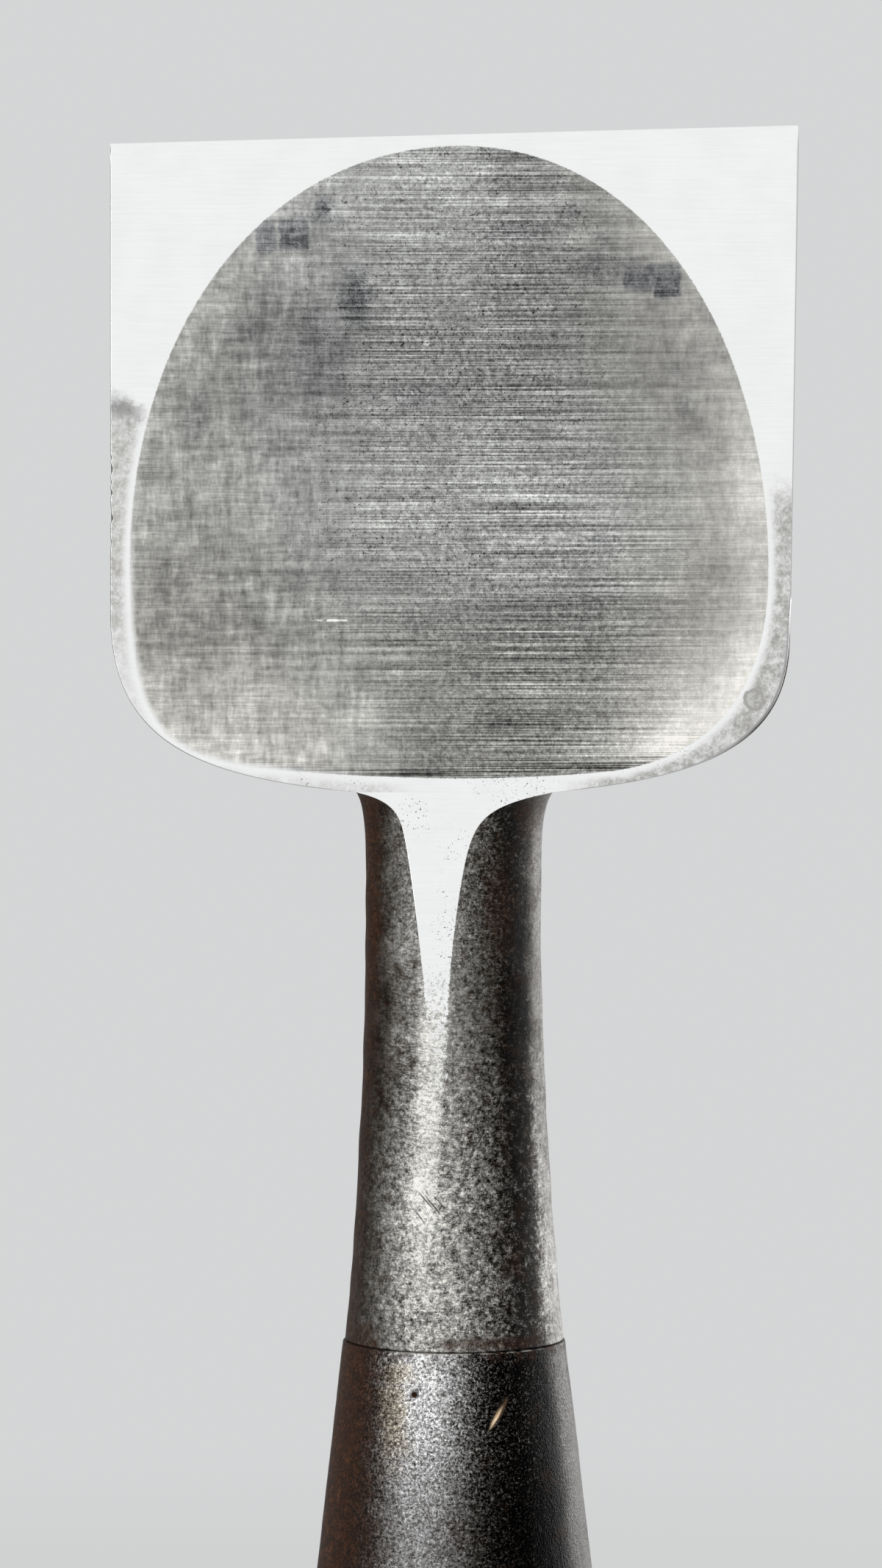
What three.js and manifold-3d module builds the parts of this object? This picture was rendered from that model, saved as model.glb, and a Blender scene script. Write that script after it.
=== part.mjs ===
// A wide Japanese bench chisel (oire nomi), standing on the struck end of its handle, cutting edge up.
// Millimetres. +Z runs along the handle's axis to the cutting edge, X across the blade, and the hollow-ground
// back faces -Y. The origin is the middle of the struck end. "Depth" below is measured from the flat back
// towards +Y, and "drop" from the heel of the blade down the neck.
import * as THREE from 'three';
import { mergeVertices } from 'three/addons/utils/BufferGeometryUtils.js';
import Module from 'manifold-3d';

const wasm = await Module();
wasm.setup();

// Lengths along the tool, from the struck end to the cutting edge
const handleLength = 98;
const ferruleLength = 27;
const neckLength = 34;
const bladeLength = 40.1;

// Blade
const bladeWidth = 42;
const cornerHeight = 1.12; // the right corner of the edge stands this much higher than the left one
const bevelAngleDegrees = 29;
const steelThickness = 1.8;
const heelThickness = 6.4;
const tipThickness = 5.7;
const sideThickness = 2.9;
const sideBevelWidth = 7; // at the heel; its slope is the same all the way up
const shoulderLength = 4.2; // how far the front slopes up from the heel to its flat
const hollowDepth = 0.85;

// Neck, which is a flattened oval at its waist and round at the ferrule
const waistWidth = 10.8;
const waistThickness = 8.8;
const waistDropLength = 8;
const waistCentreDepth = 4.2;
const neckEndDiameter = 13.6;
const axisDepth = 5.4; // from the flat back to the handle's axis
const rootHalfWidth = 6.05; // where the neck runs into the heel
const rootFlareLength = 1.1;
const tongueOffset = 1.15; // the flat tongue lies this far to the left of the neck's middle
const tongueHalfWidth = 2.6;
const tongueFadeLength = 10;
const tongueFilletLength = 0.75;
const tongueLength = 22;
const neckRidgeLength = 13.5;
const ridgeEndDepth = 0.2; // the ridge runs out this far under the blade's flat front
const neckEndChamfer = 0.25;

// Tang, hidden in the handle
const tangLength = 58;
const tangRootWidth = 6.6;
const tangRootThickness = 5.8;
const tangTipWidth = 3.6;
const tangTipThickness = 3.2;
const tangPointLength = 4;

// Ferrule
const ferruleStepWidth = 0.15; // its small end stands this far out from the neck
const ferruleWideDiameter = 20.1;
const ferruleSmallWall = 1.9;
const ferruleWideWall = 1.3;
const ferruleChamfer = 0.35;

// Handle
const handleStepWidth = 0.2;
const handleBellyDiameter = 26.4;
const handleBellyHeight = 46; // of the thickest place above the struck end
const handleShoulderEaseLength = 25; // how far the ferrule's taper carries on into the wood
const tenonEndGap = 2;
const struckLipHeight = 2.4;
const struckLipWidth = 1.1;
const struckCornerRadius = 0.9;
const tangHoleClearance = 0.15;
const tangTipGap = 1.5;

// Hoop
const hoopHeight = 9;
const hoopBoreDiameter = 24.8;
const hoopWall = 2.3;
const hoopNarrowingWidth = 0.35;
const hoopChamfer = 0.6;

// Fits and meshing
const seatGap = 0.1; // metal seated on metal, and the ferrule or hoop driven on the wood
const overrun = 3; // how far a cutting shape runs past what it cuts
const mergeDistance = 1e-4;
const roundSegments = 56;
const neckFrontSegments = 26;
const neckFlankSegments = 11;
const curveDivisions = 14;
const edgeDivisions = 4;

// Places that follow from the sizes
const ferruleWideZ = handleLength;
const seamZ = ferruleWideZ + ferruleLength;
const heelZ = seamZ + neckLength;
const edgeZ = heelZ + bladeLength;
const halfWidth = bladeWidth / 2;
const backY = -axisDepth;
const laminationY = backY + steelThickness;
const edgeSkew = Math.atan(cornerHeight / bladeWidth);
const bevelAngle = THREE.MathUtils.degToRad(bevelAngleDegrees);
const neckEndRadius = neckEndDiameter / 2;
const ferruleSmallRadius = neckEndRadius + ferruleStepWidth;
const hoopBottomZ = struckLipHeight + seatGap;
const hoopTopZ = hoopBottomZ + hoopHeight;
const hoopBoreRadius = hoopBoreDiameter / 2;

// Outlines of the back: [x, z], each a share of the half width and of the blade's length
const heelCornerShares = {
  left: [[-1, 0.274], [-1, 0.087], [-0.786, 0.0225]],
  right: [[0.762, 0.0225], [0.976, 0.08], [0.976, 0.237]],
};
const hollowShares = [
  [[-0.943, 0.349], [-0.943, 0.711], [-0.548, 0.983], [0.019, 0.983]],
  [[0.019, 0.983], [0.571, 0.983], [0.912, 0.686], [0.912, 0.337]],
  [[0.912, 0.337], [0.912, 0.162], [0.762, 0.055], [0.467, 0.0325]],
  [[0.467, 0.0325], [0.143, 0.0137], [-0.286, 0.0187], [-0.605, 0.04]],
  [[-0.605, 0.04], [-0.886, 0.06], [-0.943, 0.125], [-0.943, 0.349]],
];
const hollowCentreShare = [0, 0.5];
// Rings of the hollow from its rim to its middle, and the exponent that rounds its floor
const hollowRingShares = [1, 0.965, 0.92, 0.85, 0.75, 0.6, 0.42, 0.22];
const hollowExponent = 2.4;
// Stations of the neck, as shares of its length from the heel, close together where it flares
const neckStationShares = [
  0, 0.006, 0.012, 0.02, 0.03, 0.042, 0.058, 0.08, 0.11, 0.15,
  0.2, 0.26, 0.33, 0.4, 0.47, 0.55, 0.65, 0.75, 0.86, 1,
];
const neckFlareExponent = 1.7;
const rootFlareExponent = 2; // how soon the flare into the heel dies away towards the front
const neckProudExponent = 1.5;
const tongueEndExponent = 4;
// The tongue's share of the neck's width is kept between these
const tongueWidthShares = [0.04, 0.985];
// The ridge on the front, as shares of its length up the blade from the heel
const ridgeStationShares = [0, 0.04, 0.08, 0.13, 0.19, 0.26, 0.35, 0.46, 0.57, 0.68, 0.78, 0.87, 0.93, 0.97];
const ridgeFootExponent = 2; // how far the ridge's foot spreads where it runs out
const hoopCrownShare = 0.5; // of the hoop's taper, how far its middle bulges

function bladePoint([xShare, zShare]) {
  return new THREE.Vector2(xShare * halfWidth, heelZ + zShare * bladeLength);
}

function solidOf(geometry) {
  const bare = geometry.clone();
  bare.deleteAttribute('normal');
  bare.deleteAttribute('uv');
  const merged = mergeVertices(bare, mergeDistance);
  return new wasm.Manifold(new wasm.Mesh({
    numProp: 3,
    vertProperties: merged.attributes.position.array,
    triVerts: new Uint32Array(merged.index.array),
  }));
}

function geometryOf(solid) {
  const mesh = solid.getMesh();
  const geometry = new THREE.BufferGeometry();
  geometry.setAttribute('position', new THREE.BufferAttribute(mesh.vertProperties, 3));
  geometry.setIndex(new THREE.BufferAttribute(mesh.triVerts, 1));
  geometry.computeVertexNormals();
  return geometry;
}

// A closed surface through rings of equal length. Each ring runs anticlockwise as seen from the last ring's
// side, and each end closes in a fan round the ring's middle.
function loft(rings) {
  const count = rings[0].length;
  const points = rings.flat();
  const index = [];
  rings.slice(1).forEach((_, i) => {
    for (let j = 0; j < count; j++) {
      const a = i * count + j;
      const b = i * count + (j + 1) % count;
      index.push(a, b, b + count, a, b + count, a + count);
    }
  });
  const middleOf = (ring) => ring.reduce((sum, p) => sum.add(p), new THREE.Vector3()).divideScalar(count);
  const first = points.push(middleOf(rings[0])) - 1;
  const last = points.push(middleOf(rings.at(-1))) - 1;
  const lastStart = (rings.length - 1) * count;
  for (let j = 0; j < count; j++) {
    const next = (j + 1) % count;
    index.push(first, next, j, last, lastStart + j, lastStart + next);
  }
  return new THREE.BufferGeometry().setFromPoints(points).setIndex(index);
}

// A profile of [radius, height] pairs revolved about the handle's axis.
function revolve(profile) {
  const points = profile.map(([radius, height]) => new THREE.Vector2(radius, height));
  return new THREE.LatheGeometry(points, roundSegments).rotateX(Math.PI / 2);
}

// The sides and heel of the blade, from the top left corner round to the top right one, with the sides run
// past the cutting edge, because the bevel is cut afterwards.
function bladeOutline() {
  const top = edgeZ + cornerHeight + sideBevelWidth + overrun;
  const [left, leftPull, leftEase] = heelCornerShares.left.map(bladePoint);
  const [rightEase, rightPull, right] = heelCornerShares.right.map(bladePoint);
  const outline = new THREE.Path();
  outline.moveTo(-halfWidth, top);
  outline.lineTo(left.x, left.y);
  outline.bezierCurveTo(leftPull.x, leftPull.y, leftEase.x, leftEase.y, -rootHalfWidth, heelZ);
  outline.lineTo(rootHalfWidth, heelZ);
  outline.bezierCurveTo(rightEase.x, rightEase.y, rightPull.x, rightPull.y, right.x, right.y);
  // the right side leans out to the full half width at the cutting edge
  const lean = (halfWidth - right.x) / (edgeZ - right.y);
  outline.lineTo(right.x + lean * (top - right.y), top);
  return outline.getPoints(curveDivisions);
}

// The outline's outward direction at each point. The open top counts for nothing.
function outwardOf(outline) {
  return outline.map((_, i) => {
    const before = outline[Math.max(i - 1, 0)];
    const after = outline[Math.min(i + 1, outline.length - 1)];
    const along = after.clone().sub(before).normalize();
    return new THREE.Vector2(along.y, -along.x);
  });
}

function thicknessAt(z) {
  return THREE.MathUtils.lerp(heelThickness, tipThickness, (z - heelZ) / bladeLength);
}

// How deep the middle of the blade is: a slope up from the heel's upright edge, and then the flat front.
function frontDepthAt(z) {
  const climb = Math.min((z - heelZ) / shoulderLength, 1);
  return THREE.MathUtils.lerp(sideThickness, thicknessAt(z), climb);
}

// Everything in front of the cutting bevel, to be taken away.
function bevelCutter() {
  const along = new THREE.Vector3(Math.cos(edgeSkew), 0, Math.sin(edgeSkew));
  const down = new THREE.Vector3(
    Math.sin(edgeSkew) * Math.cos(bevelAngle),
    Math.sin(bevelAngle),
    -Math.cos(edgeSkew) * Math.cos(bevelAngle),
  );
  const out = along.clone().cross(down);
  const reach = bladeLength;
  const box = new THREE.BoxGeometry(2 * bladeWidth, 2 * reach, reach).translate(0, 0, reach / 2);
  box.applyMatrix4(new THREE.Matrix4().makeBasis(along, down, out));
  return solidOf(box.translate(0, backY, edgeZ));
}

// The shallow dish in the back: a flat lid outside the blade, and a floor that deepens towards its middle.
function hollowCutter() {
  const rim = hollowShares.flatMap((curve) => {
    const bezier = new THREE.CubicBezierCurve(...curve.map(bladePoint));
    return bezier.getPoints(curveDivisions).slice(0, -1);
  });
  const centre = bladePoint(hollowCentreShare);
  const lid = rim.map((p) => new THREE.Vector3(p.x, backY - overrun, p.y));
  const floor = hollowRingShares.map((share) => rim.map((p) => {
    const at = centre.clone().lerp(p, share);
    return new THREE.Vector3(at.x, backY + hollowDepth * (1 - share ** hollowExponent), at.y);
  }));
  return solidOf(loft([lid, ...floor]));
}

// The hard steel that carries the edge and the hollow back.
function cuttingSteel() {
  const outline = bladeOutline();
  const ringAt = (y) => outline.map((p) => new THREE.Vector3(p.x, y, p.y));
  const plate = solidOf(loft([ringAt(laminationY), ringAt(backY)]));
  return geometryOf(plate.subtract(hollowCutter()).subtract(bevelCutter()));
}

// The soft iron that backs the steel: upright sides, then a bevel all round up to the flat front.
function bladeBlock() {
  const outline = bladeOutline();
  const outward = outwardOf(outline);
  const wallAt = (y) => outline.map((p) => new THREE.Vector3(p.x, y, p.y));
  const front = outline.map((p, i) => {
    const z = p.y - outward[i].y * shoulderLength;
    const rise = (thicknessAt(z) - sideThickness) / (heelThickness - sideThickness);
    const x = p.x - outward[i].x * sideBevelWidth * rise;
    return new THREE.Vector3(x, backY + thicknessAt(z), z);
  });
  return solidOf(loft([front, wallAt(backY + sideThickness), wallAt(laminationY)]));
}

// How far the neck has swelled at a drop below the heel: 0 at its waist and 1 at the ferrule.
function neckSwell(drop) {
  return (Math.max(drop - waistDropLength, 0) / (neckLength - waistDropLength)) ** neckFlareExponent;
}

// The neck's cross-section at a drop below the heel. Its front half is a plain half oval, and its back half
// is a deeper oval that the plane of the blade's back cuts off, which leaves the flat tongue.
function neckRing(drop) {
  const swell = neckSwell(drop);
  const flare = Math.exp(-drop / rootFlareLength);
  const across = THREE.MathUtils.lerp(waistWidth / 2, neckEndRadius, swell);
  const rootFlare = (rootHalfWidth - waistWidth / 2) * flare;
  const centre = THREE.MathUtils.lerp(waistCentreDepth, axisDepth, swell)
    + (sideThickness - waistCentreDepth) * flare;
  const front = THREE.MathUtils.lerp(waistThickness, axisDepth + neckEndRadius, swell) - centre;
  const lean = tongueOffset * (1 - flare) * (1 - swell);
  const runout = Math.max(1 - (drop / tongueLength) ** tongueEndExponent, 0);
  const fillet = (rootHalfWidth - tongueHalfWidth) * Math.exp(-drop / tongueFilletLength);
  const tongue = tongueHalfWidth * Math.exp(-drop / tongueFadeLength) * runout + fillet;
  const cut = THREE.MathUtils.clamp(tongue / (across + rootFlare), ...tongueWidthShares);
  const cutAngle = Math.acos(cut);
  const proud = Math.max(drop - tongueLength, 0) / (neckLength - tongueLength);
  const back = (centre + (neckEndRadius - axisDepth) * proud ** neckProudExponent) / Math.sin(cutAngle);
  const at = (angle, reach) => {
    const rise = Math.sin(angle);
    const half = across + rootFlare * (1 - Math.max(rise, 0)) ** rootFlareExponent;
    const shift = rise < 0 ? lean * rise : 0;
    return new THREE.Vector3(half * Math.cos(angle) + shift, backY + centre + reach * rise, heelZ - drop);
  };
  const ring = [];
  for (let i = 0; i < neckFrontSegments; i++) {
    ring.push(at((Math.PI * i) / neckFrontSegments, front));
  }
  for (let i = 0; i <= neckFlankSegments; i++) {
    ring.push(at(Math.PI + (cutAngle * i) / neckFlankSegments, back));
  }
  for (let i = neckFlankSegments; i > 0; i--) {
    ring.push(at(2 * Math.PI - (cutAngle * i) / neckFlankSegments, back));
  }
  return ring;
}

function neck() {
  const rings = neckStationShares.map((share) => neckRing(share * neckLength)).reverse();
  const small = neckEndChamfer / neckEndRadius;
  const end = rings[0].map((p) => new THREE.Vector3(p.x * (1 - small), p.y * (1 - small), p.z));
  rings[0] = neckRing(neckLength - neckEndChamfer);
  return solidOf(loft([end, ...rings]));
}

// The ridge in which the neck runs out on the front of the blade. It starts as the neck's front half oval and
// sinks into the flat in a round arch, with a foot that spreads a little.
function neckRidge() {
  const rings = ridgeStationShares.map((share) => {
    const z = heelZ + neckRidgeLength * share;
    const fade = 1 - THREE.MathUtils.smoothstep(share, 0, 1);
    const arch = Math.sqrt(1 - share ** 2);
    const foot = frontDepthAt(z) - ridgeEndDepth * share;
    const top = THREE.MathUtils.lerp(thicknessAt(z) - ridgeEndDepth, waistThickness, fade);
    const power = THREE.MathUtils.lerp(ridgeFootExponent, 1, fade);
    const ring = [new THREE.Vector3(rootHalfWidth * arch, laminationY, z)];
    for (let i = 0; i <= neckFrontSegments; i++) {
      const angle = (Math.PI * i) / neckFrontSegments;
      const rise = Math.abs(Math.sin(angle));
      const half = waistWidth / 2 + (rootHalfWidth - waistWidth / 2) * (1 - rise) ** rootFlareExponent;
      const depth = foot + (top - foot) * rise ** power;
      ring.push(new THREE.Vector3(half * arch * Math.cos(angle), backY + depth, z));
    }
    ring.push(new THREE.Vector3(-rootHalfWidth * arch, laminationY, z));
    return ring;
  });
  return solidOf(loft(rings));
}

// A square bar that tapers down from the neck's end to a point. The clearance widens it all round.
function tangShape(clearance, tipSpace) {
  const tipZ = seamZ - tangLength - tipSpace;
  const pointZ = tipZ + tangPointLength;
  const ringAt = (z, width, thickness) => [[1, -1], [1, 1], [-1, 1], [-1, -1]].map(([right, front]) => (
    new THREE.Vector3(right * (width / 2 + clearance), front * (thickness / 2 + clearance), z)
  ));
  return solidOf(loft([
    ringAt(tipZ, tangTipWidth / 2, tangTipThickness / 2),
    ringAt(pointZ, tangTipWidth, tangTipThickness),
    ringAt(seamZ + neckEndChamfer, tangRootWidth, tangRootThickness),
  ]));
}

function bladeBody() {
  const forged = bladeBlock().add(neckRidge()).subtract(bevelCutter());
  return geometryOf(forged.add(neck()).add(tangShape(0, 0)));
}

// The conical socket that the neck's end seats on.
function ferrule() {
  const smallRadius = ferruleSmallRadius;
  const wideRadius = ferruleWideDiameter / 2;
  const top = seamZ - seatGap;
  return revolve([
    [smallRadius - ferruleSmallWall, top],
    [wideRadius - ferruleWideWall, ferruleWideZ],
    [wideRadius - ferruleChamfer, ferruleWideZ],
    [wideRadius, ferruleWideZ + ferruleChamfer],
    [smallRadius, top - ferruleChamfer],
    [smallRadius - ferruleChamfer, top],
    [smallRadius - ferruleSmallWall, top],
  ]);
}

function ferruleBoreRadiusAt(z) {
  const share = (z - ferruleWideZ) / (seamZ - seatGap - ferruleWideZ);
  return THREE.MathUtils.lerp(
    ferruleWideDiameter / 2 - ferruleWideWall,
    ferruleSmallRadius - ferruleSmallWall,
    share,
  );
}

// The wooden handle: a tenon in the ferrule, a swelling grip, the hoop's seat and the mushroomed struck end.
function handle() {
  const tenonTopZ = seamZ - tenonEndGap;
  const shoulderZ = ferruleWideZ - seatGap;
  const shoulderRadius = ferruleWideDiameter / 2 + handleStepWidth;
  const seatRadius = hoopBoreRadius - seatGap;
  const lipRadius = seatRadius + struckLipWidth;
  const bellyRadius = handleBellyDiameter / 2;
  const swell = new THREE.Path();
  swell.moveTo(seatRadius, hoopTopZ);
  swell.quadraticCurveTo(bellyRadius, (hoopTopZ + handleBellyHeight) / 2, bellyRadius, handleBellyHeight);
  swell.quadraticCurveTo(bellyRadius, shoulderZ - handleShoulderEaseLength, shoulderRadius, shoulderZ);
  const edge = [];
  for (let i = 0; i <= edgeDivisions; i++) {
    const angle = ((Math.PI / 2) * i) / edgeDivisions;
    edge.push([
      lipRadius - struckCornerRadius * (1 - Math.sin(angle)),
      struckCornerRadius * (1 - Math.cos(angle)),
    ]);
  }
  const body = solidOf(revolve([
    [0, 0],
    ...edge,
    [lipRadius, struckLipHeight - struckCornerRadius],
    [seatRadius, struckLipHeight],
    ...swell.getPoints(curveDivisions).map((p) => [p.x, p.y]),
    [ferruleBoreRadiusAt(shoulderZ) - seatGap, shoulderZ],
    [ferruleBoreRadiusAt(tenonTopZ) - seatGap, tenonTopZ],
    [0, tenonTopZ],
  ]));
  return geometryOf(body.subtract(tangShape(tangHoleClearance, tangTipGap)));
}

// The steel hoop that keeps the struck end from splitting.
function hoop() {
  const bottomRadius = hoopBoreRadius + hoopWall;
  const topRadius = bottomRadius - hoopNarrowingWidth;
  const middleRadius = (bottomRadius + topRadius) / 2 + hoopCrownShare * hoopNarrowingWidth;
  return revolve([
    [hoopBoreRadius, hoopTopZ],
    [hoopBoreRadius, hoopBottomZ],
    [bottomRadius - hoopChamfer, hoopBottomZ],
    [bottomRadius, hoopBottomZ + hoopChamfer],
    [middleRadius, (hoopBottomZ + hoopTopZ) / 2],
    [topRadius, hoopTopZ - hoopChamfer],
    [topRadius - hoopChamfer, hoopTopZ],
    [hoopBoreRadius, hoopTopZ],
  ]);
}

function metal(colour, roughness) {
  return new THREE.MeshStandardMaterial({ color: colour, roughness, metalness: 1 });
}

const wood = new THREE.MeshStandardMaterial({ color: 0x8a5a3a, roughness: 0.55, metalness: 0 });
const chisel = new THREE.Group();
const pieces = [
  ['cutting_steel', cuttingSteel(), metal(0xc9cbca, 0.25)],
  ['blade_body', bladeBody(), metal(0x5c5956, 0.45)],
  ['ferrule', ferrule(), metal(0x4c4845, 0.5)],
  ['handle', handle(), wood],
  ['hoop', hoop(), metal(0x3d3b39, 0.55)],
];
for (const [name, geometry, material] of pieces) {
  const mesh = new THREE.Mesh(geometry, material);
  mesh.name = name;
  chisel.add(mesh);
}

export default chisel;
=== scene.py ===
import math

import bmesh
import bpy
import numpy as np
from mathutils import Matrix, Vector

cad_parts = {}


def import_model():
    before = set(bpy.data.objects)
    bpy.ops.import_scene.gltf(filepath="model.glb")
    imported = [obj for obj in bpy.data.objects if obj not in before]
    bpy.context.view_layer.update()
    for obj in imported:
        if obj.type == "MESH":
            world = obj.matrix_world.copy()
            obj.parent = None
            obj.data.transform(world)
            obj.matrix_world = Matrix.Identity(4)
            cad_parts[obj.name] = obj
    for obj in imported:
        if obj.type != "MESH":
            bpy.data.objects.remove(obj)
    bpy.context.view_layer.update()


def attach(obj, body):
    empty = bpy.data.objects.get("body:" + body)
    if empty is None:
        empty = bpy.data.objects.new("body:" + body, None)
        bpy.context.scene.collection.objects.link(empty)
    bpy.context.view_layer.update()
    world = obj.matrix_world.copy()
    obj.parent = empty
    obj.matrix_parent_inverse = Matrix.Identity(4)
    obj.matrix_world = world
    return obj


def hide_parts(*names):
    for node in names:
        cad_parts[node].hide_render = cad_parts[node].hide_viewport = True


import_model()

# Everything below is in millimetres until a mesh is made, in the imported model's frame: +Z to the cutting edge,
# X across the blade, the hollow back facing -Y. "Depth" is measured from the flat back towards +Y.
MM = 0.001

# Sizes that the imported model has
HEEL_Z = 159.0
SEAM_Z = 125.0
FERRULE_WIDE_Z = 98.0
EDGE_Z = 199.1
BLADE_LENGTH = EDGE_Z - HEEL_Z
HALF_WIDTH = 21.0
BACK_Y = -5.4
STEEL_DEPTH = 1.8
SIDE_DEPTH = 2.9
HEEL_DEPTH = 6.4
TIP_DEPTH = 5.7
SIDE_BEVEL_WIDTH = 7.0
SHOULDER_LENGTH = 4.2
HOLLOW_DEPTH = 0.85
EDGE_SKEW = math.atan(1.12 / 42)
BEVEL_ANGLE = math.radians(29)
NECK_LENGTH = HEEL_Z - SEAM_Z
WAIST_HALF = 5.4
WAIST_DEPTH = 8.8
WAIST_DROP = 8.0
WAIST_CENTRE = 4.2
NECK_END_RADIUS = 6.8
AXIS_DEPTH = 5.4
ROOT_HALF = 6.05
ROOT_FLARE_LENGTH = 1.1
TONGUE_OFFSET = 1.15
TONGUE_HALF = 2.6
TONGUE_FADE = 10.0
TONGUE_FILLET = 0.75
TONGUE_LENGTH = 22.0
RIDGE_LENGTH = 13.5
RIDGE_END = 0.2
NECK_CHAMFER = 0.07
TANG_LENGTH = 58.0
FERRULE_TOP_Z = SEAM_Z - 0.04
FERRULE_SMALL_RADIUS = 6.95
FERRULE_WIDE_RADIUS = 10.05
FERRULE_SMALL_BORE = 5.05
FERRULE_WIDE_BORE = 8.75
SHOULDER_Z = 97.9
SHOULDER_RADIUS = 10.25
TENON_TOP_Z = 123.0
BELLY_RADIUS = 13.2
BELLY_Z = 46.0
LIP_RADIUS = 13.4
LIP_HEIGHT = 2.4
LIP_CORNER = 0.9
HOOP_SEAT_RADIUS = 12.3
HOOP_BORE_RADIUS = 12.4
HOOP_LOW_Z = 2.5
HOOP_HIGH_Z = 11.5
HOOP_LOW_RADIUS = 14.7
HOOP_HIGH_RADIUS = 14.35

# Outlines of the back as shares of the half width and of the blade's length
LEFT_HEEL_SHARES = [(-1, 0.274), (-1, 0.087), (-0.786, 0.0225)]
RIGHT_HEEL_SHARES = [(0.762, 0.0225), (0.976, 0.08), (0.976, 0.237)]
HOLLOW_SHARES = [
    [(-0.943, 0.349), (-0.943, 0.711), (-0.548, 0.983), (0.019, 0.983)],
    [(0.019, 0.983), (0.571, 0.983), (0.912, 0.686), (0.912, 0.337)],
    [(0.912, 0.337), (0.912, 0.162), (0.762, 0.055), (0.467, 0.0325)],
    [(0.467, 0.0325), (0.143, 0.0137), (-0.286, 0.0187), (-0.605, 0.04)],
    [(-0.605, 0.04), (-0.886, 0.06), (-0.943, 0.125), (-0.943, 0.349)],
]
HOLLOW_CENTRE = np.array([0.0, HEEL_Z + BLADE_LENGTH / 2])
HOLLOW_EXPONENT = 2.4


# Small helpers

def lerp(a, b, share):
    """From a, at a share of 0, to b, at 1."""
    return a + (b - a) * share


def smoothstep(low, high, value):
    share = np.clip((value - low) / (high - low), 0, 1)
    return share * share * (3 - 2 * share)


def hump(left_foot, left_top, right_top, right_foot, value):
    """1 between the tops, falling smoothly to 0 at the feet."""
    return smoothstep(left_foot, left_top, value) * (1 - smoothstep(right_top, right_foot, value))


def bump(value, centre, width):
    return np.exp(-((value - centre) / width) ** 2)


def spaced(*spans):
    """Numbers in several spans of (start, end, count), each without its end."""
    return np.concatenate([np.linspace(a, b, n, endpoint=False) for a, b, n in spans])


def circle(count):
    return spaced((0, 2 * math.pi, count))


def bezier(corners, count):
    """Points on a Bezier curve with any number of corners, without its end."""
    t = spaced((0, 1, count))[:, None]
    last = len(corners) - 1
    return sum(math.comb(last, k) * (1 - t) ** (last - k) * t ** k * np.array(corner, dtype=float)
               for k, corner in enumerate(corners))


def blade_point(shares):
    return (shares[0] * HALF_WIDTH, HEEL_Z + shares[1] * BLADE_LENGTH)


def ripple(x, y, z, wavelength, seed, waves=7):
    """A smooth, seeded unevenness between about -1 and 1, from a few plane waves."""
    draw = np.random.default_rng(seed)
    total = np.zeros(np.broadcast(x, y, z).shape)
    for _ in range(waves):
        direction = draw.normal(size=3)
        direction /= np.linalg.norm(direction)
        length = wavelength * draw.uniform(0.6, 1.6)
        phase = draw.uniform(0, 2 * math.pi)
        along = direction[0] * x + direction[1] * y + direction[2] * z
        total += np.sin(along * 2 * math.pi / length + phase)
    return total / math.sqrt(waves) / 1.5


def ripples(x, y, z, *layers):
    """Several ripples together, each given as strength, wavelength and seed."""
    return sum(strength * ripple(x, y, z, wavelength, seed) for strength, wavelength, seed in layers)


def new_object(name, data):
    made = bpy.data.objects.new(name, data)
    bpy.context.scene.collection.objects.link(made)
    return made


class Shell:
    """Collects grids of points and their faces for one mesh."""

    def __init__(self):
        self.points = []
        self.marks = []
        self.faces = []
        self.count = 0

    def add(self, points, marks=0.0):
        points = np.asarray(points, dtype=float).reshape(-1, 3)
        first = self.count
        self.points.append(points)
        self.marks.append(np.broadcast_to(np.asarray(marks, dtype=float).reshape(-1), (len(points),)))
        self.count += len(points)
        return first + np.arange(len(points))

    def face(self, *numbers):
        self.faces.append(tuple(map(int, numbers)))

    def strips(self, rows, skip=()):
        """Quads between neighbouring rows of point numbers, except at the columns to skip."""
        for lower, upper in zip(rows, rows[1:]):
            for j in range(len(lower)):
                if j not in skip:
                    k = (j + 1) % len(lower)
                    self.face(lower[j], lower[k], upper[k], upper[j])

    def fan(self, row, centre, mark=0.0):
        middle = self.add([centre], mark)[0]
        for j in range(len(row)):
            self.face(row[j], row[(j + 1) % len(row)], middle)

    def piece(self, name, slot_name, node_name, crease_degrees=30.0, weld=False, mark_name=None):
        points = np.vstack(self.points)
        used = np.unique(np.concatenate(self.faces))
        place = np.full(len(points), -1)
        place[used] = np.arange(len(used))
        mesh = bpy.data.meshes.new(name)
        mesh.from_pydata((points[used] * MM).tolist(), [], [[int(place[i]) for i in f] for f in self.faces])
        if mark_name:
            layer = mesh.attributes.new(mark_name, "FLOAT", "POINT")
            layer.data.foreach_set("value", np.concatenate(self.marks)[used])
        work = bmesh.new()
        work.from_mesh(mesh)
        if weld:
            bmesh.ops.remove_doubles(work, verts=work.verts, dist=1e-6)
        bmesh.ops.recalc_face_normals(work, faces=work.faces)
        work.to_mesh(mesh)
        work.free()
        mesh.polygons.foreach_set("use_smooth", [True] * len(mesh.polygons))
        mesh.set_sharp_from_angle(angle=math.radians(crease_degrees))
        mesh.update()
        made = new_object(name, mesh)
        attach(made, "root")
        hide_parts(node_name)
        return made


# The blade's outline, column by column: down the left side, round the heel, up the right side and back along
# the top

LEFT_TOP_SHARES = spaced((0, 0.05, 8), (0.05, 0.5, 44), (0.5, 0.85, 96), (0.85, 1, 14))
CURVE_COUNT = 110
HEEL_ANGLES = np.linspace(math.pi, 0, 97)
RIGHT_TOP_SHARES = spaced((0, 0.95, 84), (0.95, 1, 8))
TOP_SHARES = np.linspace(0, 1, 142)[1:-1]
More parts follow.
